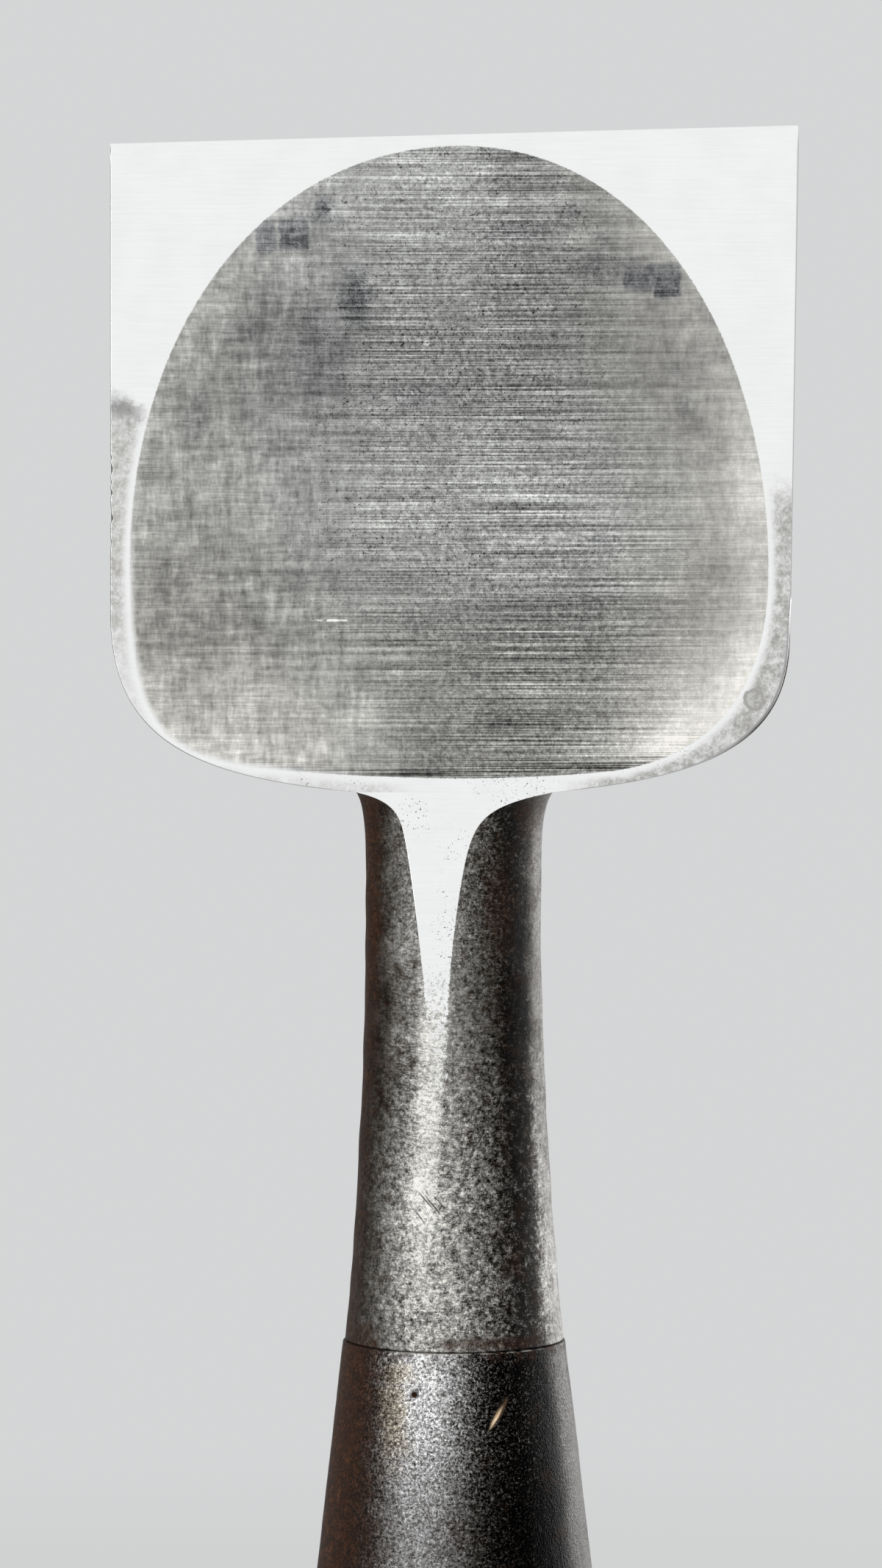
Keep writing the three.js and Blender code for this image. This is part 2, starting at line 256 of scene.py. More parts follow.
# How often a front ring is drawn again until its top corners lie on the cutting bevel
FITTING_ROUNDS = 8
LEFT_EASE = blade_point(LEFT_HEEL_SHARES[0])
RIGHT_EASE = blade_point(RIGHT_HEEL_SHARES[2])
RIGHT_LEAN = (HALF_WIDTH - RIGHT_EASE[0]) / (EDGE_Z - RIGHT_EASE[1])
LEFT_CURVE = bezier([*map(blade_point, LEFT_HEEL_SHARES), (-ROOT_HALF, HEEL_Z)], CURVE_COUNT)
RIGHT_CURVE = bezier([(ROOT_HALF, HEEL_Z), *map(blade_point, RIGHT_HEEL_SHARES)], CURVE_COUNT)[1:]


def root_half(rise):
    """The neck's half width where it meets the heel, from its silhouette (0) to its crown (1)."""
    return WAIST_HALF + (ROOT_HALF - WAIST_HALF) * (1 - rise) ** 2


def heel_line():
    rise = np.abs(np.sin(HEEL_ANGLES))
    return np.column_stack([root_half(rise) * np.cos(HEEL_ANGLES), np.full(len(rise), HEEL_Z)])


def thickness(z):
    return lerp(HEEL_DEPTH, TIP_DEPTH, (z - HEEL_Z) / BLADE_LENGTH)


def edge_line(x, depth):
    """Height of the cutting bevel's plane over a point that is that deep."""
    return EDGE_Z + x * math.tan(EDGE_SKEW) - depth / (math.tan(BEVEL_ANGLE) * math.cos(EDGE_SKEW))


def sides(left_top, right_top):
    """The outline's columns without the top ones."""
    left_z = lerp(left_top, LEFT_EASE[1], LEFT_TOP_SHARES)
    left = np.column_stack([np.full(len(left_z), -HALF_WIDTH), left_z])
    right_z = np.append(lerp(RIGHT_EASE[1], right_top, RIGHT_TOP_SHARES), right_top)
    right = np.column_stack([RIGHT_EASE[0] + RIGHT_LEAN * (right_z - RIGHT_EASE[1]), right_z])
    return np.vstack([left, LEFT_CURVE, heel_line(), RIGHT_CURVE, right])


def outward(line):
    along = np.empty_like(line)
    along[1:-1] = line[2:] - line[:-2]
    along[0] = line[1] - line[0]
    along[-1] = line[-1] - line[-2]
    along /= np.linalg.norm(along, axis=1)[:, None]
    return np.column_stack([along[:, 1], -along[:, 0]])


def with_top(columns):
    """Adds the top columns, straight from the right corner to the left one."""
    top = lerp(columns[-1], columns[0], TOP_SHARES[:, None])
    return np.vstack([columns, top])


def with_depth(line, depth):
    """x, z and one depth, or one for each point, to x, depth, z."""
    return np.column_stack([line[:, 0], np.broadcast_to(depth, len(line)), line[:, 1]])


def wall_ring(depth):
    """The outline at a depth of the upright sides, as x, depth, z."""
    line = sides(edge_line(-HALF_WIDTH, depth), edge_line(HALF_WIDTH, depth))
    return with_top(with_depth(line, depth))


def front_ring(share):
    """The outline drawn in over the side bevels and the shoulders, 0 at their foot and 1 at the flat front."""
    left_top, right_top = EDGE_Z - SIDE_DEPTH, EDGE_Z - SIDE_DEPTH
    for _ in range(FITTING_ROUNDS):
        line = sides(left_top, right_top)
        out = outward(line)
        z = line[:, 1] - out[:, 1] * SHOULDER_LENGTH
        rise = (thickness(z) - SIDE_DEPTH) / (HEEL_DEPTH - SIDE_DEPTH)
        x = line[:, 0] - out[:, 0] * SIDE_BEVEL_WIDTH * rise
        ring = lerp(with_depth(line, SIDE_DEPTH), np.column_stack([x, thickness(z), z]), share)
        left_top += edge_line(ring[0, 0], ring[0, 1]) - ring[0, 2]
        right_top += edge_line(ring[-1, 0], ring[-1, 1]) - ring[-1, 2]
    return with_top(ring)


def standing(ring):
    """x, depth, z to x, y, z."""
    return np.column_stack([ring[:, 0], BACK_Y + ring[:, 1], ring[:, 2]])


SIDE_COUNT = len(sides(EDGE_Z, EDGE_Z))
HEEL_START = len(LEFT_TOP_SHARES) + len(LEFT_CURVE)
HEEL_END = HEEL_START + len(HEEL_ANGLES) - 1


# The hard steel: hollow, lands, worn outer edge and upright sides

# How far the back's outer edge is worn round: usually, near the cutting edge, and where the neck meets the heel
EDGE_ROUND = 0.06
SHARP_ROUND = 0.008
HEEL_ROUND = 0.0004
LOW_RIGHT_WEAR = 0.24
HOLLOW_RINGS = np.array([
    1, 0.9985, 0.996, 0.992, 0.986, 0.977, 0.965, 0.95, 0.93, 0.905, 0.875, 0.84, 0.8, 0.75,
    0.7, 0.64, 0.58, 0.52, 0.46, 0.4, 0.34, 0.28, 0.22, 0.16, 0.1, 0.05,
])
LAND_RINGS = [0.02, 0.1, 0.3, 0.5, 0.7, 0.9, 0.98, 1]
SIDE_DEPTHS = [0.6, 0.9, 1.2, 1.5, STEEL_DEPTH]
RIM_COUNT = 200
# Chips in the left edge of the back: height above the heel, depth and half height of each
EDGE_CHIPS = [
    (20.4, 0.07, 0.16), (19.7, 0.13, 0.3), (18.9, 0.06, 0.2), (18.25, 0.12, 0.18), (17.2, 0.05, 0.3),
    (16.7, 0.15, 0.22), (15.2, 0.06, 0.25), (22.6, 0.04, 0.2), (39.1, 0.05, 0.25),
]
CHIP_DEPTH = 0.7


def hollow_radius(angles):
    curves = [bezier([*map(blade_point, curve)], RIM_COUNT) for curve in HOLLOW_SHARES]
    rim = np.vstack(curves) - HOLLOW_CENTRE
    rim_angles = np.arctan2(rim[:, 1], rim[:, 0])
    order = np.argsort(rim_angles)
    return np.interp(angles, rim_angles[order], np.linalg.norm(rim, axis=1)[order], period=2 * math.pi)


def edge_rounding(ring):
    """How far the back's outer edge is worn round at each column, and how deep."""
    x, above = ring[:, 0], ring[:, 2] - HEEL_Z
    width = np.full(len(ring), EDGE_ROUND)
    width *= smoothstep(0, 1.5, edge_line(x, 0) - ring[:, 2])
    width *= smoothstep(0, 2.5, np.abs(x) - ROOT_HALF)
    low_right = (x > 0) * hump(0.8, 4, 8, 13, above)
    width += LOW_RIGHT_WEAR * low_right
    width[SIDE_COUNT:] = 0
    width = np.maximum(width, SHARP_ROUND)
    width[HEEL_START:HEEL_END + 1] = HEEL_ROUND
    return width, 1 + 3 * low_right


def outer_directions(ring):
    top = np.tile([0.0, 1.0], (len(ring) - SIDE_COUNT, 1))
    return np.vstack([outward(ring[:SIDE_COUNT, [0, 2]]), top])


def chipped(ring):
    """The outline with small chips broken out of the left edge."""
    above = ring[:, 2] - HEEL_Z
    cut = sum(deep * bump(above, height, half) for height, deep, half in EDGE_CHIPS)
    cut = cut * (1 - smoothstep(0.1, CHIP_DEPTH, ring[:, 1])) * (ring[:, 0] < -HALF_WIDTH + 0.5)
    made = ring.copy()
    made[:, 0] += cut
    return made


def steel_face():
    shell = Shell()
    outline = wall_ring(0)
    out = outer_directions(outline)
    width, deepening = edge_rounding(outline)
    rounded = []
    for angle in np.radians([0, 30, 60, 90]):
        ring = wall_ring(0)
        inset = width * (1 - math.sin(angle))
        depth = width * deepening * (1 - math.cos(angle))
        ring[:, 0] -= out[:, 0] * inset
        ring[:, 2] -= out[:, 1] * inset
        ring[:, 2] -= np.where(np.arange(len(ring)) >= SIDE_COUNT, depth / math.tan(BEVEL_ANGLE), 0)
        ring[:, 1] = depth
        rounded.append(chipped(ring))
    edge = rounded[0]
    offset = edge[:, [0, 2]] - HOLLOW_CENTRE
    reach = np.linalg.norm(offset, axis=1)
    angles = np.arctan2(offset[:, 1], offset[:, 0])
    direction = offset / reach[:, None]
    rim = hollow_radius(angles)
    above = HOLLOW_CENTRE[1] - HEEL_Z + rim * direction[:, 1]
    low_left = smoothstep(2, -14, rim * direction[:, 0]) * (1 - smoothstep(6, 20, above))
    softness = lerp(0.004, 0.03, low_left)
    rows = []
    for share in HOLLOW_RINGS[::-1]:
        hard = HOLLOW_DEPTH * (1 - share ** HOLLOW_EXPONENT)
        depth = np.hypot(hard, softness) - softness
        at = HOLLOW_CENTRE + direction * (rim * share)[:, None]
        rows.append(shell.add(standing(with_depth(at, depth)), rim * (1 - share)))
    for share in LAND_RINGS:
        at = HOLLOW_CENTRE + direction * lerp(rim, reach, share)[:, None]
        rows.append(shell.add(standing(with_depth(at, 0)), -share * (reach - rim)))
    outer_mark = -(reach - rim) - 0.5
    for ring in rounded[1:]:
        rows.append(shell.add(standing(ring), outer_mark))
    for depth in SIDE_DEPTHS:
        rows.append(shell.add(standing(chipped(wall_ring(depth))), outer_mark))
    shell.strips(rows)
    shell.fan(rows[0], [0, BACK_Y + HOLLOW_DEPTH, HOLLOW_CENTRE[1]], rim.mean())
    shell.fan(rows[-1], [0, BACK_Y + STEEL_DEPTH, HOLLOW_CENTRE[1]], -9.0)
    return shell.piece("steel_face", "hard_steel", "cutting_steel", crease_degrees=24, mark_name="inset")


# The soft iron: blade block, ridge, neck and tang

FRONT_SHARES = np.concatenate([np.linspace(0, 0.96, 16), [1.0]])
FLAT_SHARES = np.concatenate([[0.985], np.linspace(0.965, 0.02, 46)])
FLAT_CENTRE = np.array([0.0, HEEL_Z + 15])
CREASE_DROP = 0.05
BLOCK_FORGING = 0.035
NECK_FORGING = 0.03
NECK_FRONT_ANGLES = HEEL_ANGLES[::-1]
NECK_FLANK_STEPS = 40
TONGUE_STEPS = 7
NECK_STATIONS = 150
# How much closer together the stations are at the heel than at the neck's end, as a power of e
STATION_GROWTH = 3.0
# Height, width and thickness of the tang at its tip, above its taper and in the neck's end
TANG_TIP_Z = SEAM_Z - TANG_LENGTH
TANG_SECTIONS = [(TANG_TIP_Z, 1.8, 1.6), (TANG_TIP_Z + 4, 3.6, 3.2), (SEAM_Z + 0.2, 6.6, 5.8)]


def ridge_rise(x, arch):
    """How far up its round the ridge is at x: 0 at its foot, 1 on its crown."""
    rise = np.linspace(1, 0, 400)
    across = root_half(rise) * np.sqrt(1 - rise ** 2)
    return np.interp(np.abs(x) / arch, across, rise)


def with_ridge(x, depth, z):
    """The depth of the front with the ridge that the neck runs out in."""
    share = np.clip((z - HEEL_Z) / RIDGE_LENGTH, 0, 0.9999)
    arch = np.sqrt(1 - share ** 2)
    fade = 1 - share * share * (3 - 2 * share)
    foot = depth - RIDGE_END * share
    top = lerp(np.maximum(thickness(z), depth) - RIDGE_END, WAIST_DEPTH, fade)
    rise = ridge_rise(x, arch)
    ridge = foot + (top - foot) * rise ** lerp(2, 1, fade)
    reach = 0.5 * np.minimum(4 * share, 1) + 1e-6
    join = np.maximum(reach - np.abs(ridge - depth), 0) / reach
    inside = np.abs(x) / arch < ROOT_HALF
    joined = np.maximum(ridge, depth) + join ** 2 * reach / 4
    return np.where(inside & (z < HEEL_Z + RIDGE_LENGTH), joined, depth)


def block_unevenness(ring):
    """Filed and hammered unevenness of the front, always inwards, with none along the cutting bevel."""
    x, depth, z = ring.T
    above_bevel = edge_line(x, depth) - z
    mask = smoothstep(0.2, 2.5, above_bevel) * smoothstep(SIDE_DEPTH + 0.2, SIDE_DEPTH + 1.2, depth)
    return BLOCK_FORGING * mask * (ripples(x, depth, z, (1, 9, 11), (0.5, 3.4, 12)) - 1.2)


def block(shell):
    rows = [shell.add(standing(wall_ring(depth))) for depth in (STEEL_DEPTH, 2.1, 2.5)]
    side = np.arange(len(rows[0])) < SIDE_COUNT
    for share in FRONT_SHARES:
        ring = front_ring(share)
        if share == 1:
            below_bevel = edge_line(ring[:, 0], ring[:, 1]) - ring[:, 2]
            ring[:, 1] -= CREASE_DROP * side * smoothstep(0, 1, below_bevel)
            flat_ring = ring.copy()
        ring[side, 1] = with_ridge(*ring[side].T)
        ring[:, 1] += block_unevenness(ring) * min(share * 4, 1)
        rows.append(shell.add(standing(ring)))
    offset = flat_ring[:, [0, 2]] - FLAT_CENTRE
    for share in FLAT_SHARES:
        at = FLAT_CENTRE + offset * share
        ring = with_depth(at, with_ridge(at[:, 0], thickness(at[:, 1]), at[:, 1]))
        ring[:, 1] += block_unevenness(ring)
        rows.append(shell.add(standing(ring)))
    shell.strips(rows[:4], skip=range(HEEL_START, HEEL_END))
    shell.strips(rows[3:])
    shell.fan(rows[-1], shell.points[-1].mean(axis=0))
    shell.fan(rows[0], [0, BACK_Y + STEEL_DEPTH, FLAT_CENTRE[1]])
    return rows


def neck_swell(drop):
    return (max(drop - WAIST_DROP, 0) / (NECK_LENGTH - WAIST_DROP)) ** 1.7


def neck_ring(drop):
    """The neck's cross-section at a drop below the heel: right silhouette, front, left, tongue, right again."""
    swell = neck_swell(drop)
    flare = math.exp(-drop / ROOT_FLARE_LENGTH)
    across = lerp(WAIST_HALF, NECK_END_RADIUS, swell)
    root = (ROOT_HALF - WAIST_HALF) * flare
    centre = lerp(WAIST_CENTRE, AXIS_DEPTH, swell) + (SIDE_DEPTH - WAIST_CENTRE) * flare
    front = lerp(WAIST_DEPTH, AXIS_DEPTH + NECK_END_RADIUS, swell) - centre
    lean = TONGUE_OFFSET * (1 - flare) * (1 - swell)
    runout = max(1 - (drop / TONGUE_LENGTH) ** 4, 0)
    fillet = (ROOT_HALF - TONGUE_HALF) * math.exp(-drop / TONGUE_FILLET)
    tongue = TONGUE_HALF * math.exp(-drop / TONGUE_FADE) * runout + fillet
    cut = float(np.clip(tongue / (across + root), 0.04, 0.985))
    cut_angle = math.acos(cut)
    proud = max(drop - TONGUE_LENGTH, 0) / (NECK_LENGTH - TONGUE_LENGTH)
    back = (centre + (NECK_END_RADIUS - AXIS_DEPTH) * proud ** 1.5) / math.sin(cut_angle)

    def at(angles, reach):
        rise = np.sin(angles)
        half = across + root * (1 - np.maximum(rise, 0)) ** 2
        x = half * np.cos(angles) + np.where(rise < 0, lean * rise, 0)
        return np.column_stack([x, centre + reach * rise, np.full(len(angles), HEEL_Z - drop)])

    flank = np.linspace(0, cut_angle, NECK_FLANK_STEPS + 1)
    left = at(math.pi + flank[1:], back)
    right = at(2 * math.pi - flank[:0:-1], back)
    tongue_line = lerp(left[-1], right[0], np.linspace(0, 1, TONGUE_STEPS + 1)[1:-1, None])
    return np.vstack([at(NECK_FRONT_ANGLES, front), left, tongue_line, right])


def neck_unevenness(ring, drop):
    """Inward radial unevenness of the forging, none on the flat tongue and at both ends."""
    x, depth, z = ring.T
    mask = smoothstep(0.02, 0.5, depth) * hump(0.5, 4, 31, 33.5, drop)
    return NECK_FORGING * mask * (ripples(x, depth, z, (1, 7, 21), (0.6, 2.6, 22), (0.35, 1.1, 23)) - 1.5)


def neck(shell, block_rows):
    steps = np.exp(STATION_GROWTH * np.linspace(0, 1, NECK_STATIONS)) - 1
    drops = (NECK_LENGTH - NECK_CHAMFER) * steps / (math.exp(STATION_GROWTH) - 1)
    rows = []
    for drop in drops:
        ring = neck_ring(drop)
        offset = ring[:, :2] - [0, WAIST_CENTRE]
        offset /= np.linalg.norm(offset, axis=1)[:, None]
        ring[:, :2] += offset * neck_unevenness(ring, drop)[:, None]
        rows.append(shell.add(standing(ring)))
    end = standing(neck_ring(NECK_LENGTH))
    end[:, :2] *= 1 - NECK_CHAMFER / NECK_END_RADIUS
    rows.append(shell.add(end))
    shell.strips(rows)
    shell.fan(rows[-1], [0, 0, SEAM_Z])
    heel = slice(HEEL_START, HEEL_END + 1)
    front_count = len(NECK_FRONT_ANGLES)
    shell.face(
        *block_rows[0][heel], block_rows[1][HEEL_END], block_rows[2][HEEL_END],
        rows[0][0], *rows[0][:front_count - 2:-1],
        block_rows[2][HEEL_START], block_rows[1][HEEL_START],
    )


def tang(shell):
    """The square bar inside the handle, closed at both ends."""
    corners = [(1, -1), (1, 1), (-1, 1), (-1, -1)]
    rows = [shell.add([(x * width / 2, y * deep / 2, z) for x, y in corners])
            for z, width, deep in TANG_SECTIONS]
    shell.strips(rows)
    shell.face(*rows[0])
    shell.face(*rows[-1])


def iron_body():
    shell = Shell()
    rows = block(shell)
    neck(shell, rows)
    tang(shell)
    return shell.piece("iron_body", "soft_iron", "blade_body", crease_degrees=12, weld=True)


# Turned and forged rings: ferrule, handle and hoop

def lathe(shell, profile, angles, shape=None, closed=True):
    """Rows of points for a profile of (radius, z), each moved by shape(radius, z, angles) -> (radius, z)."""
    rows = []
    for radius, z in profile:
        r, height = np.full(len(angles), float(radius)), np.full(len(angles), float(z))
        if shape:
            r, height = shape(r, height, angles)
        rows.append(shell.add(np.column_stack([r * np.cos(angles), r * np.sin(angles), height])))
    shell.strips([*rows, rows[0]] if closed else rows)
    return rows


def corner(radius, z, size, start, end, steps=4):
    """A quarter round on a profile, centred at (radius, z)."""
    angles = np.radians(np.linspace(start, end, steps))
    return [(radius + size * math.cos(a), z + size * math.sin(a)) for a in angles]


FERRULE_EDGE = 0.12
# The rows are closer together above this height, and the columns within this arc round the seen side
FERRULE_FINE_Z = 118.5
FERRULE_FINE_ARC = math.radians(110)
FERRULE_FORGING = 0.022
FERRULE_LENGTH = FERRULE_TOP_Z - FERRULE_WIDE_Z
# A curved nick and two pits in the ferrule's back: x, z, half width, half length, lean in degrees and depth
FERRULE_MARKS = [
    (2.45, 120.95, 0.13, 0.75, -32, 0.16), (2.95, 121.8, 0.08, 0.5, -24, 0.1),
    (-2.45, 122.45, 0.2, 0.22, 0, 0.2), (-2.3, 123.3, 0.1, 0.1, 0, 0.1),
]


def ferrule_shape(r, z, angles):
    x, y = r * np.cos(angles), r * np.sin(angles)
    outside = r > lerp(FERRULE_WIDE_RADIUS, FERRULE_SMALL_RADIUS, (z - FERRULE_WIDE_Z) / FERRULE_LENGTH) - 0.6
    cut = FERRULE_FORGING * (ripples(x, y, z, (1, 8, 31), (0.5, 2.4, 32), (0.25, 0.9, 33)) - 1.7)
    for mx, mz, half_width, half_length, lean, deep in FERRULE_MARKS:
        a = math.radians(lean)
        u = ((x - mx) * math.cos(a) + (z - mz) * math.sin(a)) / half_width
        v = (-(x - mx) * math.sin(a) + (z - mz) * math.cos(a)) / half_length
        cut -= deep * np.exp(-(u * u + v * v) ** 1.5) * (y < 0)
    return np.where(outside, r + cut, r), z


def ferrule_shell():
    slope = (FERRULE_SMALL_RADIUS - FERRULE_WIDE_RADIUS) / FERRULE_LENGTH
    low, high = FERRULE_WIDE_Z + FERRULE_EDGE, FERRULE_TOP_Z - FERRULE_EDGE
    heights = np.append(spaced((low, FERRULE_FINE_Z, 42), (FERRULE_FINE_Z, high, 65)), high)
    outer = [(FERRULE_WIDE_RADIUS + slope * (z - FERRULE_WIDE_Z), z) for z in heights]
    profile = [
        (FERRULE_WIDE_BORE, FERRULE_WIDE_Z),
        *corner(outer[0][0] - FERRULE_EDGE, low, FERRULE_EDGE, -90, -10),
        *outer,
        *corner(outer[-1][0] - FERRULE_EDGE, high, FERRULE_EDGE, 10, 90),
        (FERRULE_SMALL_BORE, FERRULE_TOP_Z),
    ]
    front, half = -math.pi / 2, FERRULE_FINE_ARC / 2
    angles = spaced((front - half, front + half, 170), (front + half, front + 2 * math.pi - half, 130))
    shell = Shell()
    lathe(shell, profile, angles, ferrule_shape)
    return shell.piece("ferrule_shell", "ferrule_iron", "ferrule")


# Strengths of the unevenness of the wood, its struck lip and the hoop
GRAIN_HEIGHT = 0.02
FRAY_HEIGHT = 0.09
HAMMER_MARKS = 0.045
HANDLE_SIDES = 220
HOOP_SIDES = 200
HOOP_CORNER = 0.55
HOOP_FACE_START = HOOP_BORE_RADIUS + 0.8
HOOP_BULGE = 0.12


def handle_profile():
    belly = (BELLY_RADIUS, BELLY_Z)
    low = [(HOOP_SEAT_RADIUS, HOOP_HIGH_Z), (BELLY_RADIUS, (HOOP_HIGH_Z + BELLY_Z) / 2), belly]
    high = [belly, (BELLY_RADIUS, SHOULDER_Z - 25), (SHOULDER_RADIUS, SHOULDER_Z)]
    return np.vstack([bezier(low, 60), bezier(high, 90)])


def handle_shape(r, z, angles):
    """Raised grain, the hammered end and the crushed lip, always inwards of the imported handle."""
    x, y = r * np.cos(angles), r * np.sin(angles)
    grip = hump(11.5, 13, 97, 97.8, z)
    grain = ripple(18 * angles, 0 * z, z / 9, 6, 41, 9) + 0.6 * ripple(44 * angles, 0 * z, z / 7, 6, 42, 9)
    r = r + grip * GRAIN_HEIGHT * (grain - 1.6)
    lip = (1 - smoothstep(2.2, 2.5, z)) * smoothstep(9.5, 12.5, r)
    fray = ripple(30 * angles, 0 * z, z, 5, 43, 9) + 0.7 * ripple(75 * angles, 0 * z, z, 5, 44, 9)
    r = r + lip * FRAY_HEIGHT * (fray - 1.4)
    end = 1 - smoothstep(0, 0.9, z)
    dents = np.maximum(ripple(x, y, 0 * z, 7, 45) + 0.3, 0) * 0.16
    ends = np.maximum(ripple(x, y, 0 * z, 1.1, 46), 0) * 0.07
    crushed = 0.12 * smoothstep(6, 13, r) * np.maximum(fray + 1, 0) / 2
    return r, z + end * ((dents + ends) * (1 - smoothstep(11, 13.4, r)) + crushed)


def handle_wood():
    rim = LIP_RADIUS - LIP_CORNER
    profile = [
        *[(radius, 0.0) for radius in spaced((0.6, rim, 16))],
        *corner(rim, LIP_CORNER, LIP_CORNER, -90, 0, 7),
        (LIP_RADIUS, 1.2), (LIP_RADIUS, 1.7), (LIP_RADIUS - 0.12, 2.15), (LIP_RADIUS - 0.5, LIP_HEIGHT),
        (HOOP_SEAT_RADIUS, LIP_HEIGHT),
        *handle_profile(),
        (SHOULDER_RADIUS - 0.05, SHOULDER_Z - 0.15), (SHOULDER_RADIUS - 0.3, SHOULDER_Z),
        (FERRULE_WIDE_BORE - 0.12, SHOULDER_Z), (FERRULE_SMALL_BORE + 0.15, TENON_TOP_Z),
    ]
    shell = Shell()
    rows = lathe(shell, profile, circle(HANDLE_SIDES), handle_shape, closed=False)
    shell.fan(rows[0], [0, 0, 0.1])
    shell.fan(rows[-1], [0, 0, TENON_TOP_Z])
    return shell.piece("handle_wood", "handle_wood", "handle", crease_degrees=50)


def hoop_shape(r, z, angles):
    """Flats left by the hammer."""
    x, y = r * np.cos(angles), r * np.sin(angles)
    outside = smoothstep(13.2, 13.9, r)
    facets = ripples(x, y, z, (1, 6.5, 51), (0.6, 2.6, 52), (0.3, 1.0, 53))
    return r + outside * HAMMER_MARKS * (facets - 1.8), z


def hoop_ring():
    heights = np.linspace(HOOP_LOW_Z + HOOP_CORNER, HOOP_HIGH_Z - HOOP_CORNER, 34)
    share = (heights - HOOP_LOW_Z) / (HOOP_HIGH_Z - HOOP_LOW_Z)
    bulge = HOOP_BULGE * 4 * share * (1 - share)
    outer = list(zip(lerp(HOOP_LOW_RADIUS, HOOP_HIGH_RADIUS, share) + bulge - 0.02, heights))
    profile = [
        (HOOP_BORE_RADIUS, HOOP_LOW_Z),
        (HOOP_FACE_START, HOOP_LOW_Z),
        *corner(outer[0][0] - HOOP_CORNER, heights[0], HOOP_CORNER, -90, -12, 5),
        *outer,
        *corner(outer[-1][0] - HOOP_CORNER, heights[-1], HOOP_CORNER, 12, 90, 5),
        (HOOP_FACE_START, HOOP_HIGH_Z),
        (HOOP_BORE_RADIUS, HOOP_HIGH_Z),
    ]
    shell = Shell()
    lathe(shell, profile, circle(HOOP_SIDES), hoop_shape)
    return shell.piece("hoop_ring", "hoop_iron", "hoop")


# Materials

def as_node(operation, swapped=False):
    """An operator of Value that makes a Math node."""
    def operator(self, other=None):
        return self.nodes.math(operation, *((other, self) if swapped else (self, other)))
    return operator


class Value:
    """A number that a node gives. Arithmetic with it makes Math nodes."""

    def __init__(self, nodes, socket):
        self.nodes, self.socket = nodes, socket

    __add__, __radd__ = as_node("ADD"), as_node("ADD", swapped=True)
    __sub__, __rsub__ = as_node("SUBTRACT"), as_node("SUBTRACT", swapped=True)
    __mul__, __truediv__, __abs__ = as_node("MULTIPLY"), as_node("DIVIDE"), as_node("ABSOLUTE")

    def ramp(self, low, high, to_low=0.0, to_high=1.0):
        """A smooth step from to_low, at low, to to_high, at high."""
        return self.nodes.value("ShaderNodeMapRange", self, low, high, to_low, to_high,
                                interpolation_type="SMOOTHSTEP")

    def hump(self, left_foot, left_top, right_top, right_foot):
        """1 between the tops, falling to 0 at the feet."""
        return self.ramp(left_foot, left_top) * self.ramp(right_foot, right_top)

    def within(self, ends):
        """A ramp between two ends, or a hump between four."""
        return self.ramp(*ends) if len(ends) == 2 else self.hump(*ends)

    def swing(self, amount):
        """A texture as a change of up to about half the amount either way."""
        return (self - 0.5) * amount


class Nodes:
    """Fills a node tree."""

    def __init__(self, tree):
        self.tree = tree
        tree.nodes.clear()

    def put(self, socket, value):
        if isinstance(value, Value):
            value = value.socket
        if isinstance(value, bpy.types.NodeSocket):
            self.tree.links.new(value, socket)
        elif value is not None:
            socket.default_value = value

    def add(self, kind, *inputs, **settings):
        node = self.tree.nodes.new(kind)
        for key, value in settings.items():
            setattr(node, key, value)
        for socket, value in zip(node.inputs, inputs):
            self.put(socket, value)
        return node

    def value(self, kind, *inputs, **settings):
        """The number that a new node's first output gives."""
        return Value(self, self.add(kind, *inputs, **settings).outputs[0])

    def math(self, operation, a, b=None):
        return self.value("ShaderNodeMath", a, b, operation=operation)

    def most(self, first, *others):
        for other in others:
            first = self.math("MAXIMUM", first, other)
        return first

    def least(self, a, b):
        return self.math("MINIMUM", a, b)

    def seen_share(self):
        """1 for rays that look at the background: from the camera, and by reflection or through glass."""
        path = self.add("ShaderNodeLightPath").outputs
        return self.most(path["Is Camera Ray"], path["Is Glossy Ray"], path["Is Transmission Ray"])


